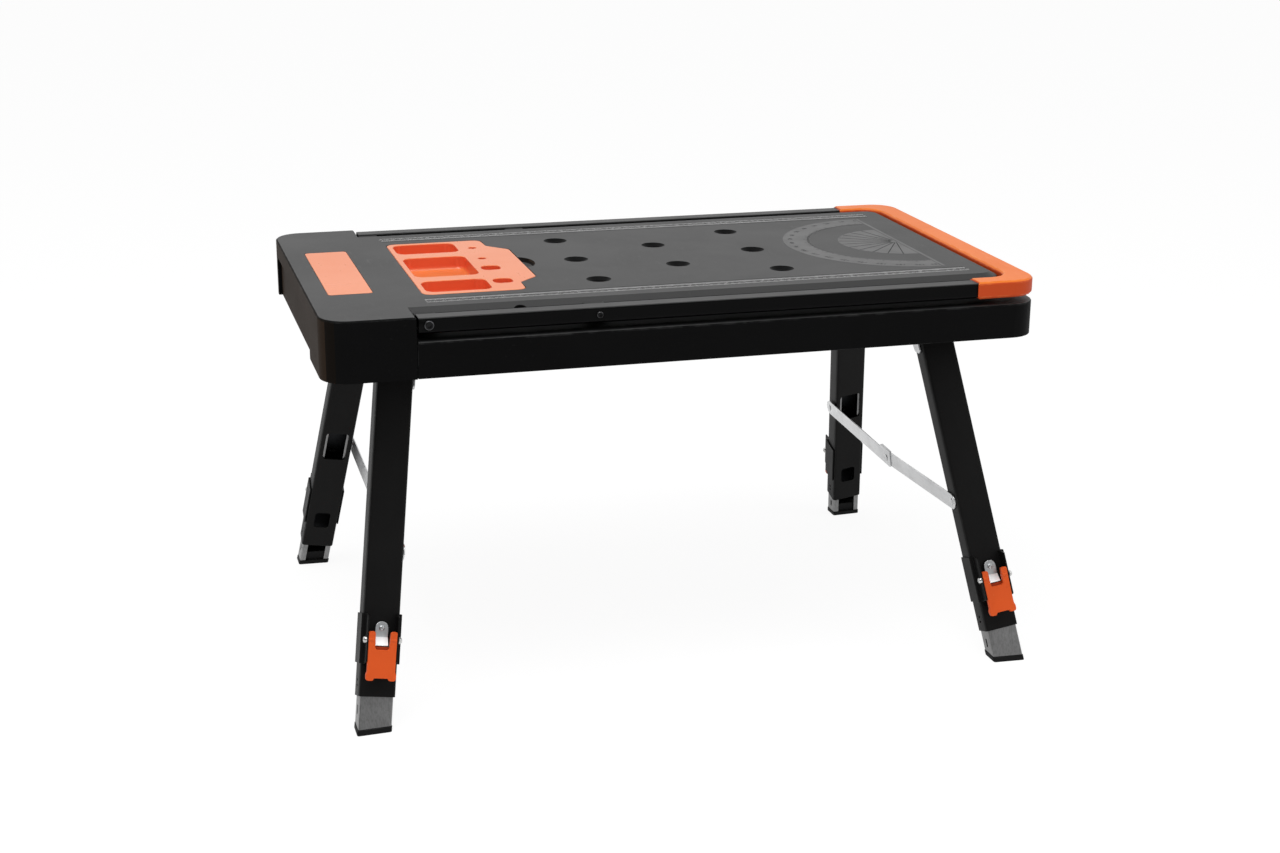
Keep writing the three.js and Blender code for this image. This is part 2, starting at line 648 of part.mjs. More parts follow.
// Side rail: a rounded rectangular tube drilled for its two bolts
function rail(side) {
  const y0 = side * RAIL_INNER_Y;
  const y1 = side * RAIL_OUTER_Y;
  const section = (inset) => rectangle(Math.min(y0, y1) + inset, Math.max(y0, y1) - inset,
    RAIL_TOP_Z - RAIL_TALL + inset, RAIL_TOP_Z - inset, RAIL_RADIUS - inset, BEND_STEPS);
  const tube = alongX(section(0), RAIL_X, GRIP_ARM_X + GRIP_SOCKET_DEPTH - CLEARANCE, [section(RAIL_WALL)]);
  const holes = [SHOE_FIRST_X, SHOE_SECOND_X].map((from) =>
    rodY(BOLT_SHANK_RADIUS + CLEARANCE, y0 - side, y1 + side, RAIL_X + from, RAIL_Z, SMALL_SIDES));
  return cut(tube, ...holes);
}

// End grip: a rounded U that closes the two rails, with a socket for each
function endGrip() {
  const arm = SIDE_Y - GRIP_ARM_WIDTH;
  const outline = (inset) => filleted([
    [GRIP_ARM_X + inset, -SIDE_Y + inset, 1],
    [END_X - inset, -SIDE_Y + inset, CORNER_RADIUS - inset, CORNER_STEPS],
    [END_X - inset, SIDE_Y - inset, CORNER_RADIUS - inset, CORNER_STEPS],
    [GRIP_ARM_X + inset, SIDE_Y - inset, 1],
    [GRIP_ARM_X + inset, arm + inset, 1],
    [END_X - GRIP_WIDTH + inset, arm + inset, GRIP_INNER_RADIUS + inset, CORNER_STEPS],
    [END_X - GRIP_WIDTH + inset, -arm - inset, GRIP_INNER_RADIUS + inset, CORNER_STEPS],
    [GRIP_ARM_X + inset, -arm - inset, 1],
  ]);
  const bar = loft([
    [outline(GRIP_CHAMFER), GRIP_BOTTOM_Z],
    [outline(0), GRIP_BOTTOM_Z + GRIP_CHAMFER],
    [outline(0), HEIGHT - GRIP_CHAMFER],
    [outline(GRIP_CHAMFER), HEIGHT],
  ]);
  const sockets = [-1, 1].map((side) => box(
    GRIP_ARM_X - 1, GRIP_ARM_X + GRIP_SOCKET_DEPTH,
    side * (RAIL_INNER_Y - CLEARANCE), side * (RAIL_OUTER_Y + CLEARANCE),
    RAIL_TOP_Z - RAIL_TALL - CLEARANCE, RAIL_TOP_Z + CLEARANCE));
  return cut(bar, ...sockets);
}

// Slide shoe: a block behind the rail whose neck runs in the deck's slot, held by a wide head
function slideShoe(side, x) {
  const outer = RAIL_INNER_Y - CLEARANCE;
  const inner = DECK_Y + CLEARANCE;
  const behind = DECK_Y - WALL - CLEARANCE;
  const half = SHOE_LENGTH / 2;
  const neck = SHOE_NECK_TALL / 2 - CLEARANCE;
  const block = alongY(
    rectangle(x - half, x + half, RAIL_Z - SHOE_TALL / 2, RAIL_Z + SHOE_TALL / 2, 3, 3),
    Math.min(side * inner, side * outer), Math.max(side * inner, side * outer));
  const waist = box(x - half + SHOE_HEAD, x + half - SHOE_HEAD, side * (behind - 1), side * (inner + 1),
    SLOT_Z - neck, SLOT_Z + neck);
  const head = box(x - half + SHOE_HEAD, x + half - SHOE_HEAD, side * (behind - SHOE_HEAD), side * behind,
    SLOT_Z - SHOE_TALL / 2, HAUNCH_Z - CLEARANCE);
  const drilled = rodY(BOLT_SHANK_RADIUS + CLEARANCE,
    side * (inner + BOLT_HEAD_THICKNESS), side * (outer + 1), x, RAIL_Z, SMALL_SIDES);
  return cut(join(block, waist, head), drilled);
}

function railBolt(side, x, headRadius) {
  const face = RAIL_OUTER_Y + CLEARANCE;
  const shankEnd = DECK_Y + CLEARANCE * 2 + BOLT_HEAD_THICKNESS;
  return join(
    rodY(BOLT_SHANK_RADIUS, side * shankEnd, side * (face + 1), x, RAIL_Z, SMALL_SIDES),
    rodY(headRadius, side * face, side * (face + BOLT_HEAD_THICKNESS), x, RAIL_Z),
  );
}

// Channel that carries two legs and turns on the trunnions at its ends, in the pair's own axes
function foldChannel(inner) {
  const out = FOLD_SIDE + FOLD_SHEET;
  const shell = cut(
    box(-out, out, -FOLD_END, FOLD_END, -FOLD_FLANGE_DROP, FOLD_TOP),
    box(-FOLD_SIDE, FOLD_SIDE, -FOLD_END + FOLD_SHEET, FOLD_END - FOLD_SHEET, -FOLD_FLANGE_DROP - 1,
      FOLD_TOP - FOLD_SHEET),
  );
  const tabLean = Math.tan(SPLAY) * FOLD_TAB_DROP;
  const tabs = [-1, 1].map((row) => alongX(
    filleted([
      [row * (PIVOT_Y - FOLD_TAB_WIDTH / 2), -FOLD_FLANGE_DROP + 1, 0],
      [row * (PIVOT_Y + FOLD_TAB_WIDTH / 2), -FOLD_FLANGE_DROP + 1, 0],
      [row * (PIVOT_Y + FOLD_TAB_WIDTH / 3 + tabLean), -FOLD_TAB_DROP, 5],
      [row * (PIVOT_Y - FOLD_TAB_WIDTH / 3 + tabLean), -FOLD_TAB_DROP, 5],
    ]),
    Math.min(inner * FOLD_SIDE, inner * out), Math.max(inner * FOLD_SIDE, inner * out)));
  const pins = [-1, 1].map((row) =>
    rodY(TRUNNION_PIN_RADIUS, row * (FOLD_END - 1), row * (FOLD_END + TRUNNION_PIN_LENGTH), 0, 0));
  const bores = [-1, 1].map((row) =>
    rodX(SPLAY_BOLT_RADIUS + CLEARANCE, -out - 1, out + 1, row * PIVOT_Y, 0));
  return cut(join(shell, ...tabs, ...pins), ...bores);
}

function splayBolt() {
  const out = FOLD_SIDE + FOLD_SHEET + CLEARANCE;
  return join(
    rodX(SPLAY_BOLT_RADIUS, -out - 1, out + 1, 0, 0),
    rodX(SPLAY_BOLT_HEAD_RADIUS, -out - SPLAY_BOLT_HEAD, -out, 0, 0, 6),
    rodX(SPLAY_BOLT_HEAD_RADIUS, out, out + SPLAY_BOLT_HEAD, 0, 0, 6),
  );
}

// Bearing bracket: an angle screwed under the deck that holds one trunnion
function bearingBracket(side, row) {
  const x = side * PIVOT_X;
  const half = BEARING_WIDTH / 2;
  const top = RIB_Z - CLEARANCE;
  const y0 = FOLD_END + BEARING_GAP;
  const plate = alongY(
    filleted([
      [x - half, top, 0],
      [x + half, top, 0],
      [x + BEARING_DROP, PIVOT_Z - BEARING_DROP, BEARING_DROP],
      [x - BEARING_DROP, PIVOT_Z - BEARING_DROP, BEARING_DROP],
    ]),
    Math.min(row * y0, row * (y0 + BEARING_SHEET)), Math.max(row * y0, row * (y0 + BEARING_SHEET)));
  const flange = box(x - half, x + half, row * y0, row * (y0 + BEARING_FLANGE), top - BEARING_SHEET, top);
  const bore = rodY(TRUNNION_PIN_RADIUS + CLEARANCE,
    row * (y0 - 1), row * (y0 + BEARING_SHEET + 1), x, PIVOT_Z);
  return cut(join(plate, flange), bore);
}

// Height, in a leg's own axes, of a plane that is level when the leg stands
function levelPlane(side, row, height) {
  return (x, y) => (height - PIVOT_Z - side * Math.sin(LEAN) * x - row * Math.cos(LEAN) * Math.sin(SPLAY) * y)
    / LEG_STEEP;
}

function windowTool(window, row) {
  const outline = rectangle(-window.width / 2, window.width / 2,
    -TUBE_END + window.bottom, -TUBE_END + window.top, window.radius, BEND_STEPS);
  const reach = [-row * (HALF_THICK - LEG_WALL * 2), -row * (HALF_THICK + 1)].sort((a, b) => a - b);
  return alongY(outline, reach[0], reach[1]);
}

// Outer leg tube, with its pivot bore, lock hole, brace hole, two windows and two small slots
function legTube(inner, row) {
  const section = (inset) => rectangle(-HALF_LEG + inset, HALF_LEG - inset,
    -HALF_THICK + inset, HALF_THICK - inset, LEG_RADIUS - inset, BEND_STEPS);
  const tube = alongZ(section(0), -TUBE_END, LEG_TOP, [section(LEG_WALL)]);
  const slots = TUBE_SLOT.rises.map((rise) => box(-HALF_LEG - 1, HALF_LEG + 1,
    -TUBE_SLOT.width / 2, TUBE_SLOT.width / 2,
    -TUBE_END + rise - TUBE_SLOT.height / 2, -TUBE_END + rise + TUBE_SLOT.height / 2));
  return cut(
    tube,
    rodX(SPLAY_BOLT_RADIUS + CLEARANCE, -HALF_LEG - 1, HALF_LEG + 1, 0, 0),
    rodY(LOCK_PIN_RADIUS + HOLE_PLAY,
      row * (HALF_THICK - LEG_WALL * 2), row * (HALF_THICK + 1), 0, -LOCK_PIN_AT, SMALL_SIDES),
    rodX(STRAP_RIVET_RADIUS + HOLE_PLAY,
      inner * (HALF_LEG - LEG_WALL * 2), inner * (HALF_LEG + 1), 0, -BRACE_AT, SMALL_SIDES),
    windowTool(UPPER_WINDOW, row),
    windowTool(LOWER_WINDOW, row),
    ...slots,
  );
}

// Sliding lipped channel, cut level with the floor, with its row of lock holes
function legChannel(side, row) {
  const a = CHANNEL_HALF_X;
  const b = CHANNEL_HALF_Y * row;
  const t = CHANNEL_WALL;
  const tb = CHANNEL_WALL * row;
  const lip = a - CHANNEL_LIP;
  const bend = LEG_RADIUS - LEG_WALL;
  const corners = [
    [-a, b, bend], [a, b, bend], [a, -b, bend],
    [lip, -b, 0], [lip, -b + tb, 0], [a - t, -b + tb, 0],
    [a - t, b - tb, 0], [-a + t, b - tb, 0], [-a + t, -b + tb, 0],
    [-lip, -b + tb, 0], [-lip, -b, 0], [-a, -b, bend],
  ];
  const outline = filleted(row > 0 ? corners.reverse() : corners, BEND_STEPS);
  const bar = loft([
    [outline, levelPlane(side, row, FOOT_HEIGHT + CLEARANCE)],
    [outline, -TUBE_END + CHANNEL_INSIDE],
  ]);
  const holes = [];
  for (let k = 0; k < LOCK_HOLE_COUNT; k += 1) {
    const z = -LOCK_PIN_AT + k * LOCK_HOLE_PITCH;
    holes.push(rodY(LOCK_PIN_RADIUS + HOLE_PLAY, b - tb * 2, b + row, 0, z, SMALL_SIDES));
  }
  const slotTop = -TUBE_END - CHANNEL_SLOT.drop;
  const slot = box(-a - 1, a + 1, -CHANNEL_SLOT.width / 2, CHANNEL_SLOT.width / 2,
    slotTop - CHANNEL_SLOT.height, slotTop);
  return cut(bar, slot, ...holes);
}

// Foot: a level pad with a plug that fills the channel's mouth
function foot(side, row) {
  const a = CHANNEL_HALF_X + FOOT_RIM;
  const b = CHANNEL_HALF_Y + FOOT_RIM;
  const pad = rectangle(-a, a, -b, b, 3, 3);
  const play = CHANNEL_WALL + CLEARANCE;
  const plug = rectangle(-CHANNEL_HALF_X + play, CHANNEL_HALF_X - play,
    -CHANNEL_HALF_Y + play, CHANNEL_HALF_Y - play);
  return join(
    loft([[pad, levelPlane(side, row, 0)], [pad, levelPlane(side, row, FOOT_HEIGHT)]]),
    loft([[plug, levelPlane(side, row, FOOT_HEIGHT / 2)], [plug, levelPlane(side, row, FOOT_PLUG)]]),
  );
}

// Clamp bracket: sheet steel folded round the tube, with two ears for the lever
function clampBracket(row) {
  const ear = LEVER_OUT + EAR_REACH;
  const cheek = filleted([
    [row * -CLAMP_WRAP, -CLAMP_BOTTOM, 3],
    [row * CLAMP_OUT, -CLAMP_BOTTOM, 3],
    [row * ear, -LEVER_PIVOT_AT - EAR_REACH, EAR_REACH - 1],
    [row * ear, -LEVER_PIVOT_AT + EAR_REACH, EAR_REACH - 1],
    [row * CLAMP_OUT, -CLAMP_TOP, 3],
    [row * -CLAMP_WRAP, -CLAMP_TOP, 3],
  ], BEND_STEPS);
  const face = [row * CLAMP_FACE, row * CLAMP_OUT].sort((a, b) => a - b);
  const body = join(
    alongX(cheek, CLAMP_SIDE, CLAMP_SIDE + CLAMP_SHEET),
    alongX(cheek, -CLAMP_SIDE - CLAMP_SHEET, -CLAMP_SIDE),
    box(-CLAMP_SIDE - 1, CLAMP_SIDE + 1, face[0], face[1], -CLAMP_BOTTOM, -CLAMP_TOP),
  );
  const across = CLAMP_SIDE + CLAMP_SHEET + 1;
  return cut(
    body,
    rodX(TRUNNION_RADIUS + CLEARANCE, -across, across, row * LEVER_OUT, -LEVER_PIVOT_AT, SMALL_SIDES),
    rodY(LOCK_PIN_RADIUS + HOLE_PLAY,
      row * (CLAMP_FACE - 1), row * (CLAMP_OUT + 1), 0, -LOCK_PIN_AT, SMALL_SIDES),
  );
}

// Lever: the side view of a flared thumb lever cut to its forked front view
function clampLever(row) {
  const y = (out) => row * (LEVER_OUT + out);
  const z = (down) => -LEVER_PIVOT_AT - down;
  const lobe = LEVER_LOBE - 1;
  const sideView = filleted([
    [y(-lobe), z(-LEVER_LOBE), lobe - 1],
    [y(lobe - 1), z(-LEVER_LOBE), lobe - 1],
    [y(lobe - 1), z(LEVER_LOBE), 6],
    [y(3), z(LEVER_LENGTH * 0.45), 14],
    [y(3), z(LEVER_LENGTH * 0.68), 14],
    [y(10), z(LEVER_LENGTH - 2), 2.5],
    [y(4), z(LEVER_LENGTH), 2],
    [y(-4), z(LEVER_LENGTH * 0.74), 10],
    [y(-lobe), z(LEVER_LENGTH * 0.5), 10],
  ], BEND_STEPS);
  const half = LEVER_WIDTH / 2;
  const slot = LEVER_SLOT_WIDTH / 2;
  const notch = LEVER_NOTCH_WIDTH / 2;
  const frontView = filleted([
    [-half, z(-LEVER_LOBE - 1), 4],
    [-slot, z(-LEVER_LOBE - 1), 4],
    [-slot, z(LEVER_SLOT_DEPTH), 3],
    [slot, z(LEVER_SLOT_DEPTH), 3],
    [slot, z(-LEVER_LOBE - 1), 4],
    [half, z(-LEVER_LOBE - 1), 4],
    [half, z(LEVER_LENGTH * 0.3), 10],
    [LEVER_WAIST / 2, z(LEVER_LENGTH * 0.6), 14],
    [half, z(LEVER_LENGTH), 5],
    [notch, z(LEVER_LENGTH), 2],
    [notch - 2, z(LEVER_LENGTH - LEVER_NOTCH_DEPTH), 2],
    [-notch + 2, z(LEVER_LENGTH - LEVER_NOTCH_DEPTH), 2],
    [-notch, z(LEVER_LENGTH), 2],
    [-half, z(LEVER_LENGTH), 5],
    [-LEVER_WAIST / 2, z(LEVER_LENGTH * 0.6), 14],
    [-half, z(LEVER_LENGTH * 0.3), 10],
  ], BEND_STEPS);
  const reach = [row * HALF_THICK, row * (LEVER_OUT + LEVER_LENGTH)].sort((a, b) => a - b);
  const blade = common(alongX(sideView, -half, half), alongY(frontView, reach[0], reach[1]));
  const trunnions = [-1, 1].map((end) =>
    rodX(TRUNNION_RADIUS, end * (half - 2), end * (CLAMP_SIDE + CLAMP_SHEET),
      row * LEVER_OUT, -LEVER_PIVOT_AT, SMALL_SIDES));
  return join(blade, ...trunnions);
}

// Lock tongue: a bent strip with a round end that carries the lock pin
function lockTongue(row) {
  const base = CLAMP_OUT + CLEARANCE;
  const top = LOCK_PIN_AT - TONGUE_WIDTH / 2;
  const bend = top + TONGUE_FLAT;
  const strip = filleted([
    [row * base, -top, 0],
    [row * base, -bend, 0],
    [row * (base + TONGUE_BENT_OUT), -bend - TONGUE_BENT_DROP, 0],
    [row * (base + TONGUE_SHEET + TONGUE_BENT_OUT), -bend - TONGUE_BENT_DROP, 0],
    [row * (base + TONGUE_SHEET), -bend, 0],
    [row * (base + TONGUE_SHEET), -top, 0],
  ]);
  const half = TONGUE_WIDTH / 2;
  const frontView = filleted([
    [-half, -bend - TONGUE_BENT_DROP - 1, 0],
    [half, -bend - TONGUE_BENT_DROP - 1, 0],
    [half, -top, half - 0.1],
    [-half, -top, half - 0.1],
  ]);
  const reach = [row * HALF_THICK, row * (base + TONGUE_SHEET + TONGUE_BENT_OUT + 1)].sort((a, b) => a - b);
  return join(
    common(alongX(strip, -half, half), alongY(frontView, reach[0], reach[1])),
    rodY(LOCK_PIN_RADIUS,
      row * (HALF_THICK - LEG_WALL + HOLE_PLAY), row * (base + 1), 0, -LOCK_PIN_AT, SMALL_SIDES),
    rodY(RIVET_HEAD_RADIUS,
      row * (base + 1), row * (base + TONGUE_SHEET + RIVET_HEAD_TALL), 0, -LOCK_PIN_AT, SMALL_SIDES),
  );
}

// Flat strap from its first pivot at the origin along -Y, with round ends and two rivet holes
function strapBar(inner, from) {
  const half = STRAP_WIDTH / 2;
  const outline = filleted([
    [half, -half, half - 0.1],
    [half, half, half - 0.1],
    [-STRAP_LENGTH - half, half, half - 0.1],
    [-STRAP_LENGTH - half, -half, half - 0.1],
  ]);
  const faces = [inner * from, inner * (from + STRAP_SHEET)].sort((a, b) => a - b);
  const drilled = [0, -STRAP_LENGTH].map((y) =>
    rodX(STRAP_RIVET_RADIUS + CLEARANCE, faces[0] - 1, faces[1] + 1, y, 0, SMALL_SIDES));
  return cut(alongX(outline, faces[0], faces[1]), ...drilled);
}

// Rear strap, whose lip folds over the other strap and stops it when the brace is straight
function rearStrap(inner) {
  const bend = STRAP_SLOPE * 2;
  const edge = STRAP_WIDTH / 2 / Math.cos(bend) + STRAP_LIP_OVERHANG * Math.tan(bend) + CLEARANCE;
  const lipFrom = inner * STRAP_INNER_X;
  const lipTo = inner * (STRAP_OUTER_X + STRAP_SHEET);
  const y = -STRAP_LENGTH;
  const lip = box(lipFrom, lipTo, y - STRAP_LIP_OVERHANG, y - STRAP_LIP_OVERHANG + STRAP_LIP_LENGTH,
    edge, edge + STRAP_SHEET);
  const tab = box(inner * STRAP_OUTER_X, lipTo,
    y - STRAP_LIP_OVERHANG, y - STRAP_LIP_OVERHANG + STRAP_LIP_LENGTH,
    -STRAP_WIDTH / 2, edge + STRAP_SHEET / 2);
  const bore = rodX(STRAP_RIVET_RADIUS + CLEARANCE,
    inner * STRAP_INNER_X, inner * (STRAP_OUTER_X + STRAP_SHEET + 1), y, 0, SMALL_SIDES);
  return cut(join(strapBar(inner, STRAP_OUTER_X), lip, tab), bore);
}

function strapRivet(inner, from, to) {
  const headEnd = to + STRAP_RIVET_HEAD_TALL;
  return join(
    rodX(STRAP_RIVET_RADIUS, inner * from, inner * (to + 1), 0, 0, SMALL_SIDES),
    rodX(STRAP_RIVET_HEAD, inner * (to + CLEARANCE), inner * headEnd, 0, 0),
  );
}

const bench = new THREE.Group();
addPart(bench, 'table_top', tableTop(), FINISH.deckPlastic);
addPart(bench, 'skirt', skirt(), FINISH.blackPlastic);
addPart(bench, 'inlay_plate', inlayPlate(), FINISH.orangePlastic);
addPart(bench, 'tool_tray', toolTray(), FINISH.orangePlastic);
addPart(bench, 'end_grip', endGrip(), FINISH.orangePlastic);

for (const [row, word] of [[-1, 'front'], [1, 'rear']]) {
  addPart(bench, `rail_${word}`, rail(row), FINISH.blackSteel);
  for (const [from, place, head] of [
    [SHOE_FIRST_X, 'end', END_BOLT_HEAD_RADIUS],
    [SHOE_SECOND_X, 'mid', MID_BOLT_HEAD_RADIUS],
  ]) {
    addPart(bench, `slide_shoe_${word}_${place}`, slideShoe(row, RAIL_X + from), FINISH.blackPlastic);
    addPart(bench, `rail_bolt_${word}_${place}`, railBolt(row, RAIL_X + from, head), FINISH.greySteel);
  }
}

for (const [side, sideWord] of [[-1, 'left'], [1, 'right']]) {
  const inner = -side;
  const pair = new THREE.Group();
  pair.position.set(side * PIVOT_X, 0, PIVOT_Z);
  pair.rotation.y = -side * LEAN;
  bench.add(pair);
  addPart(pair, `fold_channel_${sideWord}`, foldChannel(inner), FINISH.zincSteel);

  for (const [row, rowWord] of [[-1, 'front'], [1, 'rear']]) {
    const tag = `${rowWord}_${sideWord}`;
    addPart(bench, `bearing_bracket_${tag}`, bearingBracket(side, row), FINISH.zincSteel);
    const leg = new THREE.Group();
    leg.position.y = row * PIVOT_Y;
    leg.rotation.x = row * SPLAY;
    pair.add(leg);
    const bolt = addPart(pair, `splay_bolt_${tag}`, splayBolt(), FINISH.zincSteel);
    bolt.position.y = row * PIVOT_Y;
    addPart(leg, `leg_tube_${tag}`, legTube(inner, row), FINISH.blackSteel);
    addPart(leg, `leg_channel_${tag}`, legChannel(side, row), FINISH.greySteel);
    addPart(leg, `foot_${tag}`, foot(side, row), FINISH.blackRubber);
    addPart(leg, `clamp_bracket_${tag}`, clampBracket(row), FINISH.blackSteel);
    addPart(leg, `clamp_lever_${tag}`, clampLever(row), FINISH.orangePlastic);
    addPart(leg, `lock_tongue_${tag}`, lockTongue(row), FINISH.zincSteel);
  }

  const rear = new THREE.Group();
  rear.position.set(0, BRACE_Y, BRACE_Z);
  rear.rotation.x = STRAP_SLOPE;
  pair.add(rear);
  addPart(rear, `brace_strap_rear_${sideWord}`, rearStrap(inner), FINISH.zincSteel);
  addPart(rear, `brace_pivot_rear_${sideWord}`,
    strapRivet(inner, HALF_LEG - LEG_WALL, STRAP_OUTER_X + STRAP_SHEET), FINISH.zincSteel);

  const front = new THREE.Group();
  front.position.set(0, 0, BRACE_Z - BRACE_DIP);
  front.rotation.x = -STRAP_SLOPE;
  pair.add(front);
  addPart(front, `brace_strap_front_${sideWord}`, strapBar(inner, STRAP_INNER_X), FINISH.zincSteel);
  addPart(front, `brace_pivot_mid_${sideWord}`,
    strapRivet(inner, STRAP_INNER_X, STRAP_OUTER_X + STRAP_SHEET), FINISH.zincSteel);
  const openPivot = addPart(front, `brace_pivot_front_${sideWord}`,
    strapRivet(inner, STRAP_INNER_X, STRAP_INNER_X + STRAP_SHEET), FINISH.zincSteel);
  openPivot.position.y = -STRAP_LENGTH;
}

export default bench;
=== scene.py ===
"""Looks of a folding workbench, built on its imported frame.

Sizes are in millimetres until they meet a mesh.
"""
import json
import math

import bmesh
import bpy
from mathutils import Matrix, Vector


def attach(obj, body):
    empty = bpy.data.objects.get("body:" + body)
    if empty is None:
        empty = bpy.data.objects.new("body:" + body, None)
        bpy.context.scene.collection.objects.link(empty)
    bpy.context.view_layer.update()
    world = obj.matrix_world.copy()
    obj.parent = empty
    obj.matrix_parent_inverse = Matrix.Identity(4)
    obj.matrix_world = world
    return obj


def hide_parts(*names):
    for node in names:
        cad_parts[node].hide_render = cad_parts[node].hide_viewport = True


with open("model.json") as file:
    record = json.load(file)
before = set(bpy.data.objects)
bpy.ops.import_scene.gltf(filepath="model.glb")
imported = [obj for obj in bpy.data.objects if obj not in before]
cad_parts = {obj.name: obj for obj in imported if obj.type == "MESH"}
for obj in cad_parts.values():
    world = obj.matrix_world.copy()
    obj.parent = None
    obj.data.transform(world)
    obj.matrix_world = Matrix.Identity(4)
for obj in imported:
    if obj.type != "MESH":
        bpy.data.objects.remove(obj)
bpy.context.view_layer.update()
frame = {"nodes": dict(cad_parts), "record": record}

MM = 0.001
IMAGE_WIDTH = 1280
SENSOR_WIDTH = 36.0

# Camera solved from the bench's own edges
FOCAL_PIXELS = 2036.18
CAMERA_CLIP = 60.0
CAMERA_PLACE = (-771.25, -2703.0, 1157.78)
CAMERA_RIGHT = (0.96218691, -0.27231717, 0.00630195)
CAMERA_DOWN = (-0.07543679, -0.28863136, -0.95446384)
CAMERA_AHEAD = (0.26173583, 0.91789722, -0.29826005)

# Bench sizes that the added pieces are set out from
TOP = 532.0
DECK_EDGE_Z = 523.5
PIVOT_X = 372.7
PIVOT_Y = 139.8
PIVOT_Z = 480.0
LEAN = math.radians(8.55)
SPLAY = math.radians(19.62)
TUBE_END = 440.0 / (math.cos(LEAN) * math.cos(SPLAY))
LOCK_PIN_AT = TUBE_END - 88.4
LOCK_PIN_OUT = 21.0
LEVER_PIVOT_AT = TUBE_END - 73.4
LEVER_PIVOT_OUT = 30.0
CLAMP_LOW = 42.4 - TUBE_END
CLAMP_HIGH = 106.4 - TUBE_END
CLAMP_EAR = 20.7
STOP_RIVET_AT = TUBE_END - 53.0
CHANNEL_INNER_X = 19.8
CHANNEL_INNER_Y = 11.8
BRACE_AT = TUBE_END - 186.8
BRACE_Y = PIVOT_Y + BRACE_AT * math.sin(SPLAY)
BRACE_Z = -BRACE_AT * math.cos(SPLAY)
BRACE_DIP = 10.0
POCKET_FLOOR = TOP - 19.0
TRAY_X = -338.0
RAIL_Z = 520.3
RAIL_FACE_Y = 269.3
SIDES = {"left": -1, "right": 1}
ROWS = {"front": -1, "rear": 1}

# Limits, in metres and radians, that sort vertices, edges and faces
WELD = 1e-6
FLAT = math.radians(0.6)
SHARP = math.radians(35)
CREASE = math.radians(38)
LEVEL = 0.99999
BROAD = 1e-4
SHORTEST_EDGE = 2.1
WORN_SHARE = 0.6


class Value:
    """A shader socket that can be used in arithmetic."""

    def __init__(self, nodes, socket):
        self.nodes = nodes
        self.socket = socket

    def math(self, operation, *operands, clamp=False):
        return self.nodes.make("ShaderNodeMath", dict(enumerate(operands)),
                               {"operation": operation, "use_clamp": clamp})

    def __add__(self, other):
        return self.math("ADD", self, other)

    __radd__ = __add__

    def __sub__(self, other):
        return self.math("SUBTRACT", self, other)

    def __rsub__(self, other):
        return self.math("SUBTRACT", other, self)

    def __mul__(self, other):
        return self.math("MULTIPLY", self, other)

    __rmul__ = __mul__

    def clamped(self):
        return self.math("ADD", self, 0.0, clamp=True)

    def largest(self, other):
        return self.math("MAXIMUM", self, other)

    def step(self, low, high):
        """0 below low, 1 above high and a smooth rise between."""
        return self.nodes.make("ShaderNodeMapRange", {"Value": self, "From Min": low, "From Max": high},
                               {"interpolation_type": "SMOOTHSTEP"}, out="Result")

    def output(self, name):
        """Another output of the same node."""
        return Value(self.nodes, self.socket.node.outputs[name])


class Nodes:
    """Makes the nodes of one material or of the world."""

    def __init__(self, owner):
        owner.use_nodes = True
        self.tree = owner.node_tree
        self.tree.nodes.clear()

    def make(self, kind, sockets=None, settings=None, out=0):
        """One node: its settings first, then the values or links of its sockets."""
        node = self.tree.nodes.new(kind)
        for name, setting in (settings or {}).items():
            setattr(node, name, setting)
        for name, value in (sockets or {}).items():
            socket = node.inputs[name]
            if isinstance(value, Value):
                self.tree.links.new(value.socket, socket)
            elif socket.type == "RGBA" and len(value) == 3:
                socket.default_value = (*value, 1.0)
            else:
                socket.default_value = value
        return Value(self, node.outputs[out]) if node.outputs else None

    def place(self, scale=(1, 1, 1), turn=(0, 0, 0)):
        """Object coordinates, squeezed and turned where a grain has a direction."""
        here = self.make("ShaderNodeTexCoord", out="Object")
        if scale == (1, 1, 1) and turn == (0, 0, 0):
            return here
        return self.make("ShaderNodeMapping", {"Vector": here, "Scale": scale, "Rotation": turn})

    def noise(self, vector, scale, detail=3.0, roughness=0.55, distortion=0.0):
        return self.make("ShaderNodeTexNoise", {
            "Vector": vector, "Scale": scale, "Detail": detail,
            "Roughness": roughness, "Distortion": distortion})

    def mix(self, factor, first, second):
        """A mix of two colours. The node keeps them in its sockets 6 and 7, and gives them in output 2."""
        return self.make("ShaderNodeMix", {0: factor, 6: first, 7: second}, {"data_type": "RGBA"}, out=2)

    def attribute(self, name):
        return self.make("ShaderNodeAttribute", settings={"attribute_name": name}, out="Fac")

    def bump(self, height, distance, strength):
        return self.make("ShaderNodeBump", {"Height": height, "Distance": distance, "Strength": strength})


class Finish(Nodes):
    """A surface finish: one material with a principled shader."""

    def __init__(self, name):
        self.material = bpy.data.materials.new(name)
        super().__init__(self.material)

    def shade(self, **sockets):
        names = {key: key.replace("_", " ").title().replace("Ior", "IOR") for key in sockets}
        shader = self.make("ShaderNodeBsdfPrincipled", {names[key]: value for key, value in sockets.items()})
        self.make("ShaderNodeOutputMaterial", {"Surface": shader})
        return self


def toned(colour, gain, lift=0.0):
    """A colour made paler or deeper."""
    return tuple(min(1.0, part * gain + lift) for part in colour)


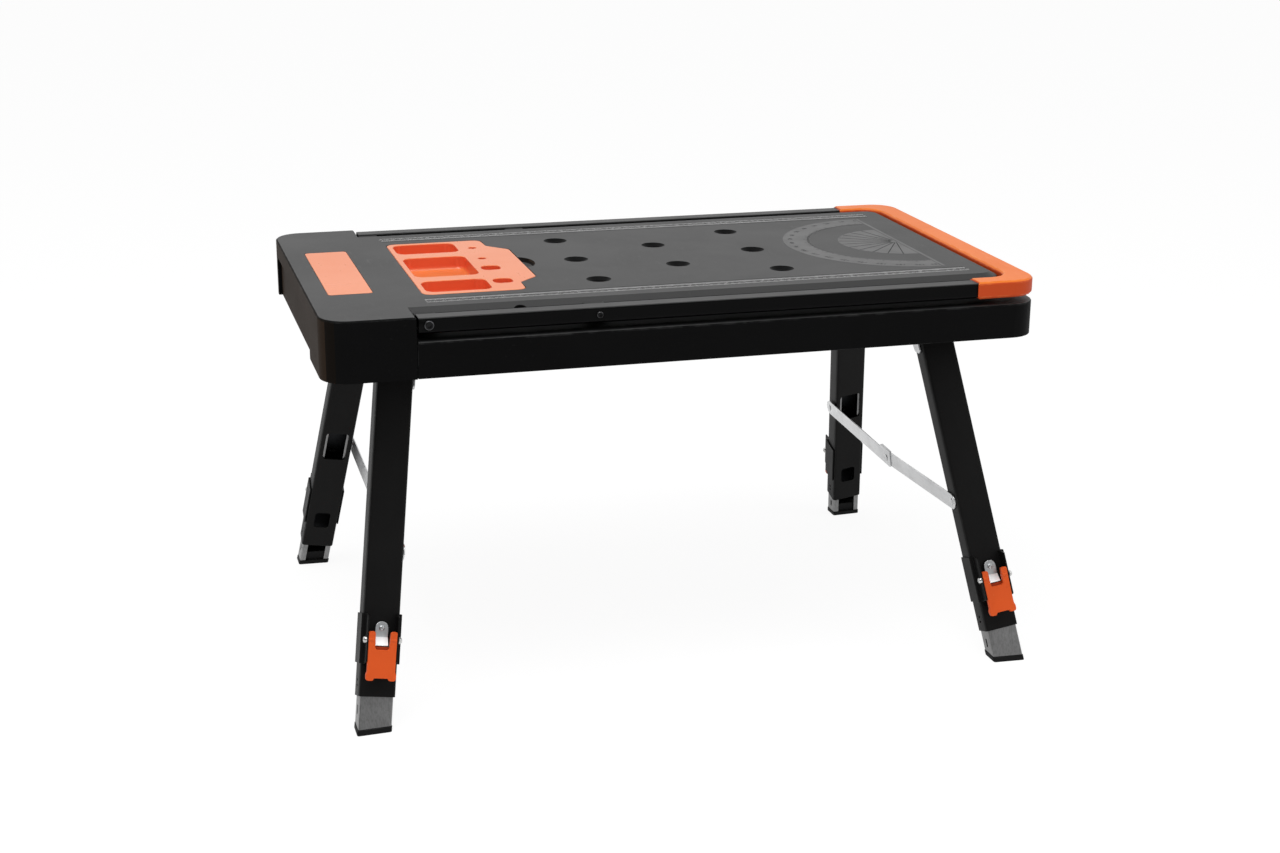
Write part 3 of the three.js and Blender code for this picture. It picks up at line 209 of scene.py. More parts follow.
def moulded_plastic(name, colour, deep, rough, grain, gloss, rubbed=None):
    """Injection-moulded plastic: fine spark-eroded grain, cloudy handling marks and rubbed edges."""
    finish = Finish(name)
    here = finish.place()
    grains = finish.noise(here, scale=1500.0, detail=2.0, roughness=0.6)
    pits = finish.noise(here, scale=620.0, detail=2.0, roughness=0.5)
    cloud = finish.noise(here, scale=7.0, detail=4.0, roughness=0.6, distortion=0.4)
    rubs = finish.noise(finish.place((40, 6, 40), (0, 0, 0.5)), scale=5.0, detail=3.0, roughness=0.65)
    rub_mask = rubs.step(0.6, 0.74) * cloud.step(0.4, 0.62)
    tone = finish.mix(cloud.step(0.3, 0.72), colour, deep)
    speckle = finish.mix(grains.step(0.5, 0.85) * 0.12, tone, toned(colour, 1.6, 0.012))
    patches = finish.noise(here, scale=60.0, detail=3.0, roughness=0.6)
    edge = finish.attribute("worn") * patches.step(0.42, 0.66)
    wear = (edge * 0.6 + rub_mask * 0.16).clamped()
    shown = finish.mix(wear, speckle, rubbed or toned(colour, 1.35, 0.02))
    unevenness = (cloud - 0.5) * 0.12 + (grains - 0.5) * 0.1
    roughness = (rough + unevenness - edge * 0.08 - rub_mask * 0.06).clamped()
    normal = finish.bump(grains * 0.6 + pits * 0.4, distance=0.00022 * grain, strength=0.55)
    return finish.shade(base_color=shown, roughness=roughness, normal=normal, specular_ior_level=gloss)


def powder_coat(name, colour, rough, gloss):
    """Baked powder coat on steel: a slight orange peel with paler scuffed edges."""
    finish = Finish(name)
    here = finish.place()
    peel = finish.noise(here, scale=420.0, detail=2.0, roughness=0.5)
    fine = finish.noise(here, scale=1900.0, detail=1.0, roughness=0.5)
    cloud = finish.noise(here, scale=11.0, detail=4.0, roughness=0.6)
    streaks = finish.noise(finish.place((6, 6, 46), (0.2, 0.3, 0)), scale=6.0, detail=4.0, roughness=0.7)
    scuffs = streaks.step(0.63, 0.8)
    patches = finish.noise(here, scale=85.0, detail=3.0, roughness=0.6)
    edge = finish.attribute("worn") * patches.step(0.45, 0.7)
    tone = finish.mix(cloud.step(0.32, 0.7), colour, toned(colour, 0.72))
    shown = finish.mix((edge * 0.55 + scuffs * 0.12).clamped(), tone, toned(colour, 2.4, 0.02))
    roughness = (rough + (cloud - 0.5) * 0.16 + (fine - 0.5) * 0.08 - edge * 0.1).clamped()
    normal = finish.bump(peel * 0.7 + fine * 0.3, distance=0.00012, strength=0.6)
    return finish.shade(base_color=shown, roughness=roughness, normal=normal, specular_ior_level=gloss)


def drawn_steel(name, colour, dull, rough, along, streak):
    """Bare or zinc-plated sheet: rolling streaks along the strip, faint spangle and small scratches."""
    finish = Finish(name)
    here = finish.place()
    streaks = finish.noise(finish.place(along), scale=9.0, detail=4.0, roughness=0.65)
    hairlines = finish.noise(finish.place(along), scale=60.0, detail=2.0, roughness=0.6)
    crystals = finish.make("ShaderNodeTexVoronoi", {"Vector": here, "Scale": 190.0}, out="Color")
    spangle = finish.make("ShaderNodeSeparateColor", {"Color": crystals})
    cloud = finish.noise(here, scale=26.0, detail=4.0, roughness=0.6)
    marks = finish.noise(finish.place((80, 9, 30), (0.4, 0.9, 0.3)), scale=4.0, detail=3.0, roughness=0.7)
    scratches = marks.step(0.66, 0.7)
    edge = finish.attribute("worn")
    stain = (cloud.step(0.35, 0.75) * 0.6 + streaks.step(0.4, 0.7) * streak + spangle * 0.16).clamped()
    tone = finish.mix(stain, colour, dull)
    shown = finish.mix((scratches * 0.4 + edge * 0.35).clamped(), tone, toned(colour, 1.15, 0.05))
    roughness = (rough + (cloud - 0.5) * 0.2 + (hairlines - 0.5) * 0.18 - edge * 0.08).clamped()
    height = hairlines * 0.6 + streaks * 0.4 - scratches * 0.3
    normal = finish.bump(height, distance=0.00006, strength=0.6)
    return finish.shade(base_color=shown, roughness=roughness, normal=normal, metallic=1.0)


def relief_print(name, colour, rough, gloss):
    """Shallow moulded graduations, a shade apart from the deck."""
    finish = Finish(name)
    here = finish.place()
    cloud = finish.noise(here, scale=30.0, detail=3.0, roughness=0.6)
    grains = finish.noise(here, scale=1300.0, detail=2.0, roughness=0.6)
    shown = finish.mix(cloud.step(0.3, 0.75), colour, toned(colour, 0.8))
    roughness = (rough + (cloud - 0.5) * 0.1 + (grains - 0.5) * 0.1).clamped()
    normal = finish.bump(grains, distance=0.0001, strength=0.5)
    return finish.shade(base_color=shown, roughness=roughness, normal=normal, specular_ior_level=gloss)


# How a grain is stretched along each axis of the bench
ALONG_X = (2, 60, 60)
ALONG_Y = (60, 2, 60)
ALONG_Z = (60, 60, 2)

# One black plastic in copies picked by face direction: the top copy first, then a darker copy for sides,
# which is painted shade
deck_plastic = moulded_plastic(
    "deck_plastic", (0.0065, 0.0066, 0.0067), (0.0045, 0.0046, 0.0047), rough=0.5, grain=0.8, gloss=0.5)
shaded_side_plastic = moulded_plastic(
    "shaded_side_plastic", (0.003, 0.003, 0.0031), (0.0024, 0.0024, 0.0025), rough=0.5, grain=0.8, gloss=0.05)
# The end block's end and corners: brownish copies of the black plastic that paint a warm sheen, paler on the
# end than on the corners
end_sheen_plastic = moulded_plastic(
    "end_sheen_plastic", (0.03, 0.0195, 0.013), (0.027, 0.0176, 0.0117), rough=0.55, grain=0.8, gloss=0.02)
corner_sheen_plastic = moulded_plastic(
    "corner_sheen_plastic", (0.0085, 0.0066, 0.0052), (0.0075, 0.0059, 0.0047), rough=0.55, grain=0.8, gloss=0.02)
foot_plastic = moulded_plastic(
    "foot_plastic", (0.006, 0.006, 0.0062), (0.0045, 0.0045, 0.0047), rough=0.62, grain=1.0, gloss=0.15)
shoe_plastic = moulded_plastic(
    "shoe_plastic", (0.005, 0.005, 0.005), (0.004, 0.004, 0.004), rough=0.5, grain=0.5, gloss=0.15)
grip_orange = moulded_plastic(
    "grip_orange", (0.86, 0.2, 0.024), (0.8, 0.175, 0.02),
    rough=0.44, grain=0.5, gloss=0.24, rubbed=(0.9, 0.3, 0.08))
# A darker copy of the grip's orange for its sides: painted shade
shaded_grip_side_orange = moulded_plastic(
    "shaded_grip_side_orange", (0.6, 0.07, 0.011), (0.55, 0.06, 0.009),
    rough=0.44, grain=0.5, gloss=0.18, rubbed=(0.7, 0.14, 0.03))
# Copies of one tray orange: a paler one for tops, floors and the inlay that paints a sheen, a deeper one for
# pocket walls that paints shade, and one between them for the fillets that paints their highlight
sheen_tray_orange = moulded_plastic(
    "sheen_tray_orange", (0.81, 0.21, 0.055), (0.79, 0.2, 0.052),
    rough=0.3, grain=0.08, gloss=0.55, rubbed=(0.83, 0.23, 0.065))
shaded_wall_orange = moulded_plastic(
    "shaded_wall_orange", (0.81, 0.12, 0.046), (0.77, 0.11, 0.042),
    rough=0.3, grain=0.2, gloss=0.35, rubbed=(0.83, 0.15, 0.055))
fillet_highlight_orange = moulded_plastic(
    "fillet_highlight_orange", (0.81, 0.165, 0.051), (0.78, 0.155, 0.047),
    rough=0.3, grain=0.1, gloss=0.5, rubbed=(0.83, 0.18, 0.06))
lever_orange = moulded_plastic(
    "lever_orange", (0.76, 0.1, 0.014), (0.68, 0.085, 0.011),
    rough=0.42, grain=0.4, gloss=0.25, rubbed=(0.86, 0.25, 0.08))
# A darker copy of the lever's orange for the bar behind its slot: painted shade
shaded_hook_orange = moulded_plastic(
    "shaded_hook_orange", (0.4, 0.05, 0.01), (0.35, 0.04, 0.008),
    rough=0.45, grain=0.4, gloss=0.2, rubbed=(0.5, 0.1, 0.03))
black_steel = powder_coat("black_steel", (0.0065, 0.0063, 0.0062), rough=0.46, gloss=0.12)
rail_steel = powder_coat("rail_steel", (0.0012, 0.0012, 0.0013), rough=0.4, gloss=0.08)
# A paler copy of the rail's black coat for its upward faces: a painted highlight
rail_top_highlight_steel = powder_coat("rail_top_highlight_steel", (0.003, 0.003, 0.003), rough=0.42, gloss=0.38)
strap_zinc = drawn_steel(
    "strap_zinc", (0.8, 0.805, 0.81), (0.66, 0.665, 0.67), rough=0.4, along=ALONG_Y, streak=0.4)
carrier_zinc = drawn_steel(
    "carrier_zinc", (0.66, 0.665, 0.67), (0.5, 0.505, 0.51), rough=0.38, along=ALONG_Y, streak=0.4)
bracket_zinc = drawn_steel(
    "bracket_zinc", (0.66, 0.665, 0.67), (0.5, 0.505, 0.51), rough=0.38, along=ALONG_X, streak=0.4)
tongue_zinc = drawn_steel(
    "tongue_zinc", (0.68, 0.7, 0.715), (0.52, 0.54, 0.55), rough=0.33, along=ALONG_Z, streak=0.3)
# A near-white copy of the tongue's zinc for its bent faces: a painted highlight
tongue_highlight_zinc = drawn_steel(
    "tongue_highlight_zinc", (0.97, 0.98, 0.985), (0.88, 0.9, 0.91), rough=0.55, along=ALONG_Z, streak=0.2)
leg_steel = drawn_steel(
    "leg_steel", (0.3, 0.3, 0.3), (0.2, 0.2, 0.2), rough=0.42, along=ALONG_Z, streak=0.6)
# A darker copy of the leg steel for the inside of its channel: painted shade
channel_shade_steel = drawn_steel(
    "channel_shade_steel", (0.03, 0.031, 0.033), (0.02, 0.02, 0.022), rough=0.5, along=ALONG_Z, streak=0.5)
bolt_black = drawn_steel(
    "bolt_black", (0.022, 0.022, 0.023), (0.014, 0.014, 0.014), rough=0.36, along=ALONG_Z, streak=0.3)
# A paler copy of the bolts' black for a ring on each head's crown: a painted highlight
bolt_rim_highlight = drawn_steel(
    "bolt_rim_highlight", (0.1, 0.1, 0.105), (0.07, 0.07, 0.072), rough=0.34, along=ALONG_Z, streak=0.3)
screw_zinc = drawn_steel(
    "screw_zinc", (0.7, 0.7, 0.69), (0.5, 0.5, 0.49), rough=0.28, along=ALONG_Z, streak=0.3)
pale_relief = relief_print("pale_relief", (0.085, 0.085, 0.085), rough=0.5, gloss=0.5)
tick_relief = relief_print("tick_relief", (0.55, 0.55, 0.55), rough=0.5, gloss=0.5)
dark_relief = relief_print("dark_relief", (0.004, 0.004, 0.004), rough=0.6, gloss=0.15)


def settle(name, shape, finish, body, replaced=(), weighted=True):
    """Turns a finished bmesh into a piece that rides on a body, in one finish or several."""
    mesh = bpy.data.meshes.new(name)
    shape.to_mesh(mesh)
    shape.free()
    for coat in finish if isinstance(finish, tuple) else (finish,):
        mesh.materials.append(coat.material)
    mesh.shade_smooth()
    mesh.set_sharp_from_angle(angle=CREASE)
    broad = [face for face in mesh.polygons if face.area > BROAD and max(map(abs, face.normal)) > LEVEL]
    outlines = {key for face in broad for key in face.edge_keys}
    for edge in mesh.edges:
        if edge.key in outlines:
            edge.use_edge_sharp = True
    piece = bpy.data.objects.new(name, mesh)
    bpy.context.scene.collection.objects.link(piece)
    if weighted:
        weigh = piece.modifiers.new("face_weight", "WEIGHTED_NORMAL")
        weigh.keep_sharp = True
    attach(piece, body)
    if replaced:
        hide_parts(*replaced)
    return piece


NODE_BODY = {node: body for body, nodes in frame["record"]["behaviour"]["bodies"].items() for node in nodes}


def soften(node, width, finish, segments=2, chosen=None, light_and_shade_of=None, hollow=None, fillet=0.0,
           reshape=None):
    """A copy of a CAD node in its place, with its sharp edges rounded and marked for wear.

    The test for faces gives the number of each face's finish; where these are lit and shaded copies of one
    material, it paints light and shade by face direction.
    The edges that the hollow test picks get a wider fillet first.
    """
    shape = bmesh.new()
    shape.from_mesh(frame["nodes"][node].data)
    bmesh.ops.remove_doubles(shape, verts=shape.verts, dist=WELD)
    for vert in shape.verts if reshape else ():
        vert.co = reshape(vert.co)
    bmesh.ops.dissolve_limit(shape, angle_limit=FLAT, verts=shape.verts, edges=shape.edges)
    worn = shape.faces.layers.float.new("worn")
    if hollow:
        inner = [edge for edge in shape.edges if hollow(edge)]
        bmesh.ops.bevel(shape, geom=inner, offset=fillet * MM, offset_type="OFFSET", affect="EDGES",
                        segments=4, profile=0.5, clamp_overlap=False, material=-1)
    sharp = [edge for edge in shape.edges
             if len(edge.link_faces) == 2 and edge.calc_face_angle(0.0) > SHARP
             and edge.calc_length() > width * MM * SHORTEST_EDGE and (chosen is None or chosen(edge))]
    made = bmesh.ops.bevel(shape, geom=sharp, offset=width * MM, offset_type="OFFSET", affect="EDGES",
                           segments=segments, profile=0.5, clamp_overlap=False, material=-1)
    for face in made["faces"]:
        face[worn] = float(face.calc_area() < WORN_SHARE * width * MM * face.calc_perimeter())
    for face in shape.faces:
        face.material_index = int(light_and_shade_of(face)) if light_and_shade_of else 0
    return settle(f"{node}_body", shape, finish, NODE_BODY[node], [node])


def hexagon(angle):
    """Reach of a hexagon at an angle, as a share of its corner radius."""
    return math.cos(math.pi / 6) / math.cos(angle % (math.pi / 3) - math.pi / 6)


def turned(shape, profile, place, sides=24, socket=0.0):
    """Adds a lathe-turned form: profile points are radius and height. A socket radius becomes a hexagon."""
    before = set(shape.verts)
    verts = [shape.verts.new((radius * MM, 0, height * MM)) for radius, height in profile]
    edges = [shape.edges.new(pair) for pair in zip(verts, verts[1:])]
    bmesh.ops.spin(shape, geom=verts + edges, cent=(0, 0, 0), axis=(0, 0, 1), angle=math.tau, steps=sides,
                   use_merge=True)
    fresh = [vert for vert in shape.verts if vert not in before]
    bmesh.ops.remove_doubles(shape, verts=fresh, dist=WELD)
    fresh = [vert for vert in shape.verts if vert not in before]
    for vert in fresh:
        if WELD < vert.co.xy.length < socket * MM + WELD:
            vert.co.xy *= hexagon(math.atan2(vert.co.y, vert.co.x))
    faces = {face for vert in fresh for face in vert.link_faces}
    bmesh.ops.recalc_face_normals(shape, faces=list(faces))
    bmesh.ops.transform(shape, matrix=place, verts=fresh)


def bar(shape, low, high, place=Matrix()):
    """Adds a small box, given its two corners in the axes of a place."""
    low, high = Vector(low) * MM, Vector(high) * MM
    size = Matrix.Diagonal((*(high - low), 1.0))
    bmesh.ops.create_cube(shape, size=1.0, matrix=place @ Matrix.Translation((low + high) / 2) @ size)


def facing(place, direction):
    """A frame at a place, with its Z axis along a direction. The place is in millimetres."""
    turn = Vector((0, 0, 1)).rotation_difference(Vector(direction)).to_matrix().to_4x4()
    return Matrix.Translation(Vector(place) * MM) @ turn


def pair_frame(side):
    """The frame of a leg pair, at the middle of its fold axis and leaning with the legs."""
    return Matrix.Translation((side * PIVOT_X * MM, 0, PIVOT_Z * MM)) @ Matrix.Rotation(-side * LEAN, 4, "Y")


def leg_frame(side, row):
    """The frame of one leg, at its splay bolt and with the leg along -Z."""
    place = Matrix.Translation((0, row * PIVOT_Y * MM, 0))
    return pair_frame(side) @ place @ Matrix.Rotation(row * SPLAY, 4, "X")


def within_channel(side, row):
    """A test for the faces on the inside of a leg's sliding channel, which take a darker copy of the steel
    as painted shade.
    """
    back = leg_frame(side, row).inverted()

    def test(face):
        spot = back @ face.calc_center_median() / MM
        return abs(spot.x) < CHANNEL_INNER_X and abs(spot.y) < CHANNEL_INNER_Y
    return test


# The tray's pockets in the CAD, and where the sides of its pockets and rims go
POCKET_ENDS = (TRAY_X + 7.5, TRAY_X + 95.5)
POCKET_SIDES = ((-142.5, -89.5), (-54.0, 54.0), (89.5, 142.5))
POCKET_RADIUS = 7.0
POCKET_ROUNDER = 5.0
POCKET_WALL = 1.9
POCKET_FILLET = 6.0
SIDE_MOVES = (
    (-155.0, -155.0), (-142.5, -143.5), (-89.5, -83.0), (-54.0, -57.0),
    (54.0, 60.0), (89.5, 88.0), (142.5, 147.5), (155.0, 155.0),
)


def rounder_corner(spot):
    """Moves a point on the corner arc of a tray pocket to an arc with a larger radius."""
    for side in POCKET_SIDES:
        for far_x, far_y in ((i, j) for i in (0, 1) for j in (0, 1)):
            toward = Vector((far_x * 2 - 1, far_y * 2 - 1))
            centre = Vector((POCKET_ENDS[far_x], side[far_y])) - toward * POCKET_RADIUS
            away = spot - centre
            if min(away * toward) > -WELD / MM and away.length < POCKET_RADIUS + POCKET_WALL:
                return spot - toward * POCKET_ROUNDER + away.normalized() * POCKET_ROUNDER
    return spot


def wider_pockets(place):
    """Rounds the corners of the tray's pockets and moves their side walls apart, between its rims."""
    if not POCKET_ENDS[0] - POCKET_WALL < place.x / MM < POCKET_ENDS[1] + POCKET_WALL:
        return place
    spot = rounder_corner(place.xy / MM)
    for (low, low_to), (high, high_to) in zip(SIDE_MOVES, SIDE_MOVES[1:]):
        if low <= spot.y <= high:
            spot.y = low_to + (spot.y - low) / (high - low) * (high_to - low_to)
            return Vector((*spot * MM, place.z))
    return place


def pocket_foot(edge):
    """A test for the inner edges round the floor of a tray pocket."""
    return not edge.is_convex and all(abs(vert.co.z - POCKET_FLOOR * MM) < WELD for vert in edge.verts)


# Parts of a face's normal at which one finish gives way to the next, each a lit or shaded copy of one
# material: painted light and shade
TOP_FACE = 0.7
TRAY_WALL = 0.3
GRIP_SIDE = 0.6
DECK_FACE = 0.87
CORNER_FACE = -0.55
END_FACE = -0.88
BENT_FACE = 0.2


def on_top(face):
    """A test for the faces that look up."""
    return face.normal.z > TOP_FACE


def tray_finish(face):
    """The tray's finishes, copies of one orange: its top and floors paler with a painted sheen, the walls
    deeper in painted shade, and the fillets between them with a painted highlight.
    """
    if on_top(face):
        return 0
    return 2 if face.normal.z > TRAY_WALL else 1


def deck_finish(face):
    """The deck's finishes, copies of one black plastic: its top, its sides in painted shade, and the corners
    of the end block and the block's end in a painted warm sheen.
    """
    if face.normal.z > DECK_FACE:
        return 0
    return 1 + (face.normal.x < CORNER_FACE) + (face.normal.x < END_FACE)


def bent_up(side, row):
    """A test for the faces of a lock tongue that are bent out of the plane of its leg, which take a paler
    copy of its zinc as a painted highlight.
    """
    back = leg_frame(side, row).to_3x3().inverted()

    def test(face):
        normal = back @ face.normal
        return normal.z > BENT_FACE and normal.y * row > BENT_FACE
    return test


# Where each bolt stands along the rail, and its head's radius
BOLTS = {"end": (-351.0, 6.5), "mid": (-131.0, 4.5)}
BOLT_SOCKET = 0.52
BOLT_CROWN = 0.78
# The painted highlight ring on a bolt's head runs from the crown's share of its radius to this share
BOLT_RIM = 0.95
BOLT_SHANK = 3.0
BOLT_LENGTH = 31.0


def dress_cad():
    """Puts a softened copy in place of each CAD node that keeps its shape."""
    # The deck's top, sides, end-block corners and end take lit and shaded copies of one black plastic:
    # painted shade and sheen
    soften("table_top", 0.7, (deck_plastic, shaded_side_plastic, corner_sheen_plastic, end_sheen_plastic),
           chosen=lambda edge: min(vert.co.z for vert in edge.verts) > DECK_EDGE_Z * MM,
           light_and_shade_of=deck_finish)
    # The skirt's sides take the darker copy as painted shade, and its upward faces take the deck's top copy
    soften("skirt", 1.2, (shaded_side_plastic, deck_plastic), light_and_shade_of=on_top)
    # The inlay takes the tray's paler copy, which is a painted sheen
    soften("inlay_plate", 0.5, sheen_tray_orange)
    soften("tool_tray", 1.2, (sheen_tray_orange, shaded_wall_orange, fillet_highlight_orange), segments=3, light_and_shade_of=tray_finish,
           hollow=pocket_foot, fillet=POCKET_FILLET, reshape=wider_pockets)
    # The grip's faces that turn away from above take the darker copy, which is painted shade
    soften("end_grip", 1.2, (grip_orange, shaded_grip_side_orange), segments=3,
           light_and_shade_of=lambda face: face.normal.z < GRIP_SIDE)
    for row in ROWS:
        # The rail's upward faces take the paler copy, which is a painted highlight
        soften(f"rail_{row}", 0.5, (rail_steel, rail_top_highlight_steel), light_and_shade_of=on_top)
        for place in BOLTS:
            soften(f"slide_shoe_{row}_{place}", 0.5, shoe_plastic)
    for side, sign in SIDES.items():
        soften(f"fold_channel_{side}", 0.6, carrier_zinc)
        soften(f"brace_strap_rear_{side}", 0.4, strap_zinc)
        soften(f"brace_strap_front_{side}", 0.4, strap_zinc)
        for row, way in ROWS.items():
            tag = f"{row}_{side}"
            soften(f"bearing_bracket_{tag}", 0.6, bracket_zinc)
            soften(f"splay_bolt_{tag}", 0.5, screw_zinc)
            soften(f"leg_tube_{tag}", 0.4, black_steel)
            soften(f"leg_channel_{tag}", 0.3, (leg_steel, channel_shade_steel), light_and_shade_of=within_channel(sign, way))
            soften(f"foot_{tag}", 0.7, foot_plastic)
            soften(f"lock_tongue_{tag}", 0.4, (tongue_zinc, tongue_highlight_zinc), light_and_shade_of=bent_up(sign, way))


def button_head(radius, socket):
    """Profile of a bolt with a socket in its round head."""
    return [(0, 0.4), (socket, 0.4), (socket, 1.95), (socket + 0.4, 2.15), (radius * BOLT_CROWN, 1.9),
            (radius * 0.93, 1.3), (radius, 0.5), (radius * 0.98, 0), (BOLT_SHANK, 0),
            (BOLT_SHANK, -BOLT_LENGTH), (0, -BOLT_LENGTH)]


def rail_bolts():
    """Black button-head bolts with hexagon sockets on the outer face of each rail, with a paler ring on each
    head's crown as a painted highlight.
    """
    for word, row in ROWS.items():
        for spot, (x, radius) in BOLTS.items():
            shape = bmesh.new()
            socket = radius * BOLT_SOCKET
            place = facing((x, row * RAIL_FACE_Y, RAIL_Z), (0, row, 0))
            turned(shape, button_head(radius, socket), place, socket=socket)
            for face in shape.faces:
                centre = place.inverted() @ face.calc_center_median() / MM
                # Faces in the ring on top of the crown take the paler copy, which is a painted highlight
                on_highlight_rim = radius * BOLT_CROWN < centre.xy.length < radius * BOLT_RIM
                face.material_index = int(centre.z > 0 and on_highlight_rim)
            node = f"rail_bolt_{word}_{spot}"
            settle(f"{node}_button", shape, (bolt_black, bolt_rim_highlight), NODE_BODY[node], [node])


# How far each rivet of a brace stands in from its pair's plane, where, and how deep its shank goes
BRACE_RIVETS = {
    "rear": (29.2, BRACE_Y, BRACE_Z, 6.5),
    "mid": (29.2, 0, BRACE_Z - BRACE_DIP, 4.4),
    "front": (26.9, -BRACE_Y, BRACE_Z, 2.2),
}
RIVET_RADIUS = 5.0
RIVET_HEAD = 1.3
RIVET_SHANK = 3.2


def dimpled(radius, height, shank, depth):
    """Profile of a rivet with a punched dimple in its head."""
    return [(0, height - 0.5), (radius * 0.3, height - 0.45), (radius * 0.42, height),
            (radius * 0.7, height - 0.12), (radius * 0.92, height - 0.5), (radius, height - 0.9),
            (radius, 0), (shank, 0), (shank, -depth), (0, -depth)]


def brace_rivets():
    """The three rivets of each folding brace."""
    for word, side in SIDES.items():
        inner = -side
        for spot, (out, y, z, depth) in BRACE_RIVETS.items():
            shape = bmesh.new()
            place = pair_frame(side) @ facing((inner * out, y, z), (inner, 0, 0))
            turned(shape, dimpled(RIVET_RADIUS, RIVET_HEAD, RIVET_SHANK, depth), place)
            node = f"brace_pivot_{spot}_{word}"
            settle(f"{node}_rivet", shape, strap_zinc, NODE_BODY[node], [node])


# The most of a side that the rounding of one corner may take
CORNER_SHARE = 0.49


def rounded(corners, steps=4):
    """Points of an outline. Each of its corners is given with a radius."""
    points = []
    for index, (*here, radius) in enumerate(corners):
        corner = Vector(here)
        before = Vector(corners[index - 1][:2]) - corner
        after = Vector(corners[(index + 1) % len(corners)][:2]) - corner
        longest = min(before.length, after.length) * CORNER_SHARE
        reach = min(radius / math.tan(before.angle(after) / 2), longest)
        start, end = corner + before.normalized() * reach, corner + after.normalized() * reach
        for step in range(steps + 1):
            share = step / steps
            points.append(start.lerp(corner, share).lerp(corner.lerp(end, share), share))
    return points


def extruded(shape, outline, low, high):
    """Adds a flat outline drawn out along Z between two heights and gives its points."""
    rings = [[shape.verts.new((x * MM, y * MM, z * MM)) for x, y in outline] for z in (low, high)]
    faces = [shape.faces.new(ring) for ring in rings]
    for index in range(len(outline)):
        corners = (rings[0][index - 1], rings[0][index], rings[1][index], rings[1][index - 1])
        faces.append(shape.faces.new(corners))
    bmesh.ops.recalc_face_normals(shape, faces=faces)
    return rings[0] + rings[1]


def round_edges(shape, width, segments):
    """Rounds all the sharp edges of a made shape."""
    sharp = [edge for edge in shape.edges
             if len(edge.link_faces) == 2 and edge.calc_face_angle(0.0) > SHARP]
    bmesh.ops.bevel(shape, geom=sharp, offset=width * MM, offset_type="OFFSET", affect="EDGES",
                    segments=segments, profile=0.5, clamp_overlap=True, material=-1)


# Outlines across a clamp: x, distance out of the leg or down from the pivot, and corner radius
CLAMP_SECTION = (
    (24.3, -13.0, 0.6), (26.3, -13.0, 0.6), (26.3, 18.3, 1.8), (CLAMP_EAR, 18.3, 1.0),
    (CLAMP_EAR, 33.5, 0.6), (18.7, 33.5, 0.6), (18.7, 16.3, 1.0), (24.3, 16.3, 0.8),
)
CLAMP_ROUND = 0.25
EAR_SLOPE = 3.0
LEVER_HALF = (
    (9.2, 12.5, 3.5), (9.9, -11.0, 3.0), (18.4, -11.0, 3.0), (18.2, 40.5, 2.0), (19.6, 44.0, 2.0),
    (19.4, 52.0, 4.5), (10.4, 52.0, 2.4), (9.2, 48.8, 1.4),
)
LEVER_FRONT = 33.0
LEVER_BACK = 27.5
LEVER_CUTS = range(-8, 52, 4)
LEVER_BOW = 1.5
LEVER_BOW_AT = 24.0
LEVER_BOW_REACH = 34.0
LEVER_ROUND = 1.3
HOOK_OUTLINE = ((-9.6, 8.5, 1.0), (9.6, 8.5, 1.0), (9.6, 20.0, 1.0), (-9.6, 20.0, 1.0))
HOOK_FRONT = 26.5
HOOK_BACK = 22.5
HOOK_ROUND = 0.8

# Lathe profiles of the lever's lobes and of the rivets and pin of a clamp: radius and height
LOBE = [(0, 0), (3.8, 0), (4.4, 0.6), (4.4, 7.4), (3.8, 8.0), (0, 8.0)]
LOBE_X = 10.2
TONGUE_RIVET = [
    (0, 1.05), (1.0, 1.08), (1.5, 1.75), (2.5, 1.65), (3.3, 1.2), (3.6, 0.5), (3.6, -0.6), (0, -0.6),
]
LEVER_PIN = [
    (0, 3.5), (1.2, 3.6), (1.6, 4.3), (2.9, 4.1), (3.9, 3.1), (4.4, 1.7), (4.4, 0.05), (2.2, 0.05),
    (2.2, -9.0), (0, -9.0),
]
STOP_RIVET = [
    (0, 1.3), (1.1, 1.35), (1.4, 1.9), (2.6, 1.7), (3.6, 1.0), (3.9, 0.2), (3.9, -0.8), (0, -0.8),
]
STOP_RIVET_OUT = CHANNEL_INNER_Y - 0.1


def clamp_bracket(tag, leg, row):
    """The two welded halves of a clamp bracket: cheek, lip on the tube's face and standing ear."""
    shape = bmesh.new()
    middle = (CLAMP_LOW + CLAMP_HIGH) / 2 * MM
    for end in (-1, 1):
        outline = rounded([(end * x, row * y, radius) for x, y, radius in CLAMP_SECTION], steps=3)
        for point in extruded(shape, outline, CLAMP_LOW, CLAMP_HIGH):
            if abs(point.co.y) > LEVER_PIVOT_OUT * MM:
                point.co.z -= math.copysign(EAR_SLOPE * MM, point.co.z - middle)
    round_edges(shape, CLAMP_ROUND, segments=1)
    bmesh.ops.transform(shape, matrix=leg, verts=shape.verts)
    node = f"clamp_bracket_{tag}"
    settle(f"{node}_ears", shape, black_steel, NODE_BODY[node], [node])


def add_hook(shape, row):
    """Adds the bar behind a lever's slot, in the lever's second finish: a darker copy of its orange that
    paints the shade in the slot.
    """
    hook = bmesh.new()
    outline = rounded([(x, row * down, radius) for x, down, radius in HOOK_OUTLINE])
    extruded(hook, outline, HOOK_BACK, HOOK_FRONT)
    round_edges(hook, HOOK_ROUND, segments=2)
    for face in hook.faces:
        face.material_index = 1
    mesh = bpy.data.meshes.new("hook")
    hook.to_mesh(mesh)
    hook.free()
    shape.from_mesh(mesh)
    bpy.data.meshes.remove(mesh)


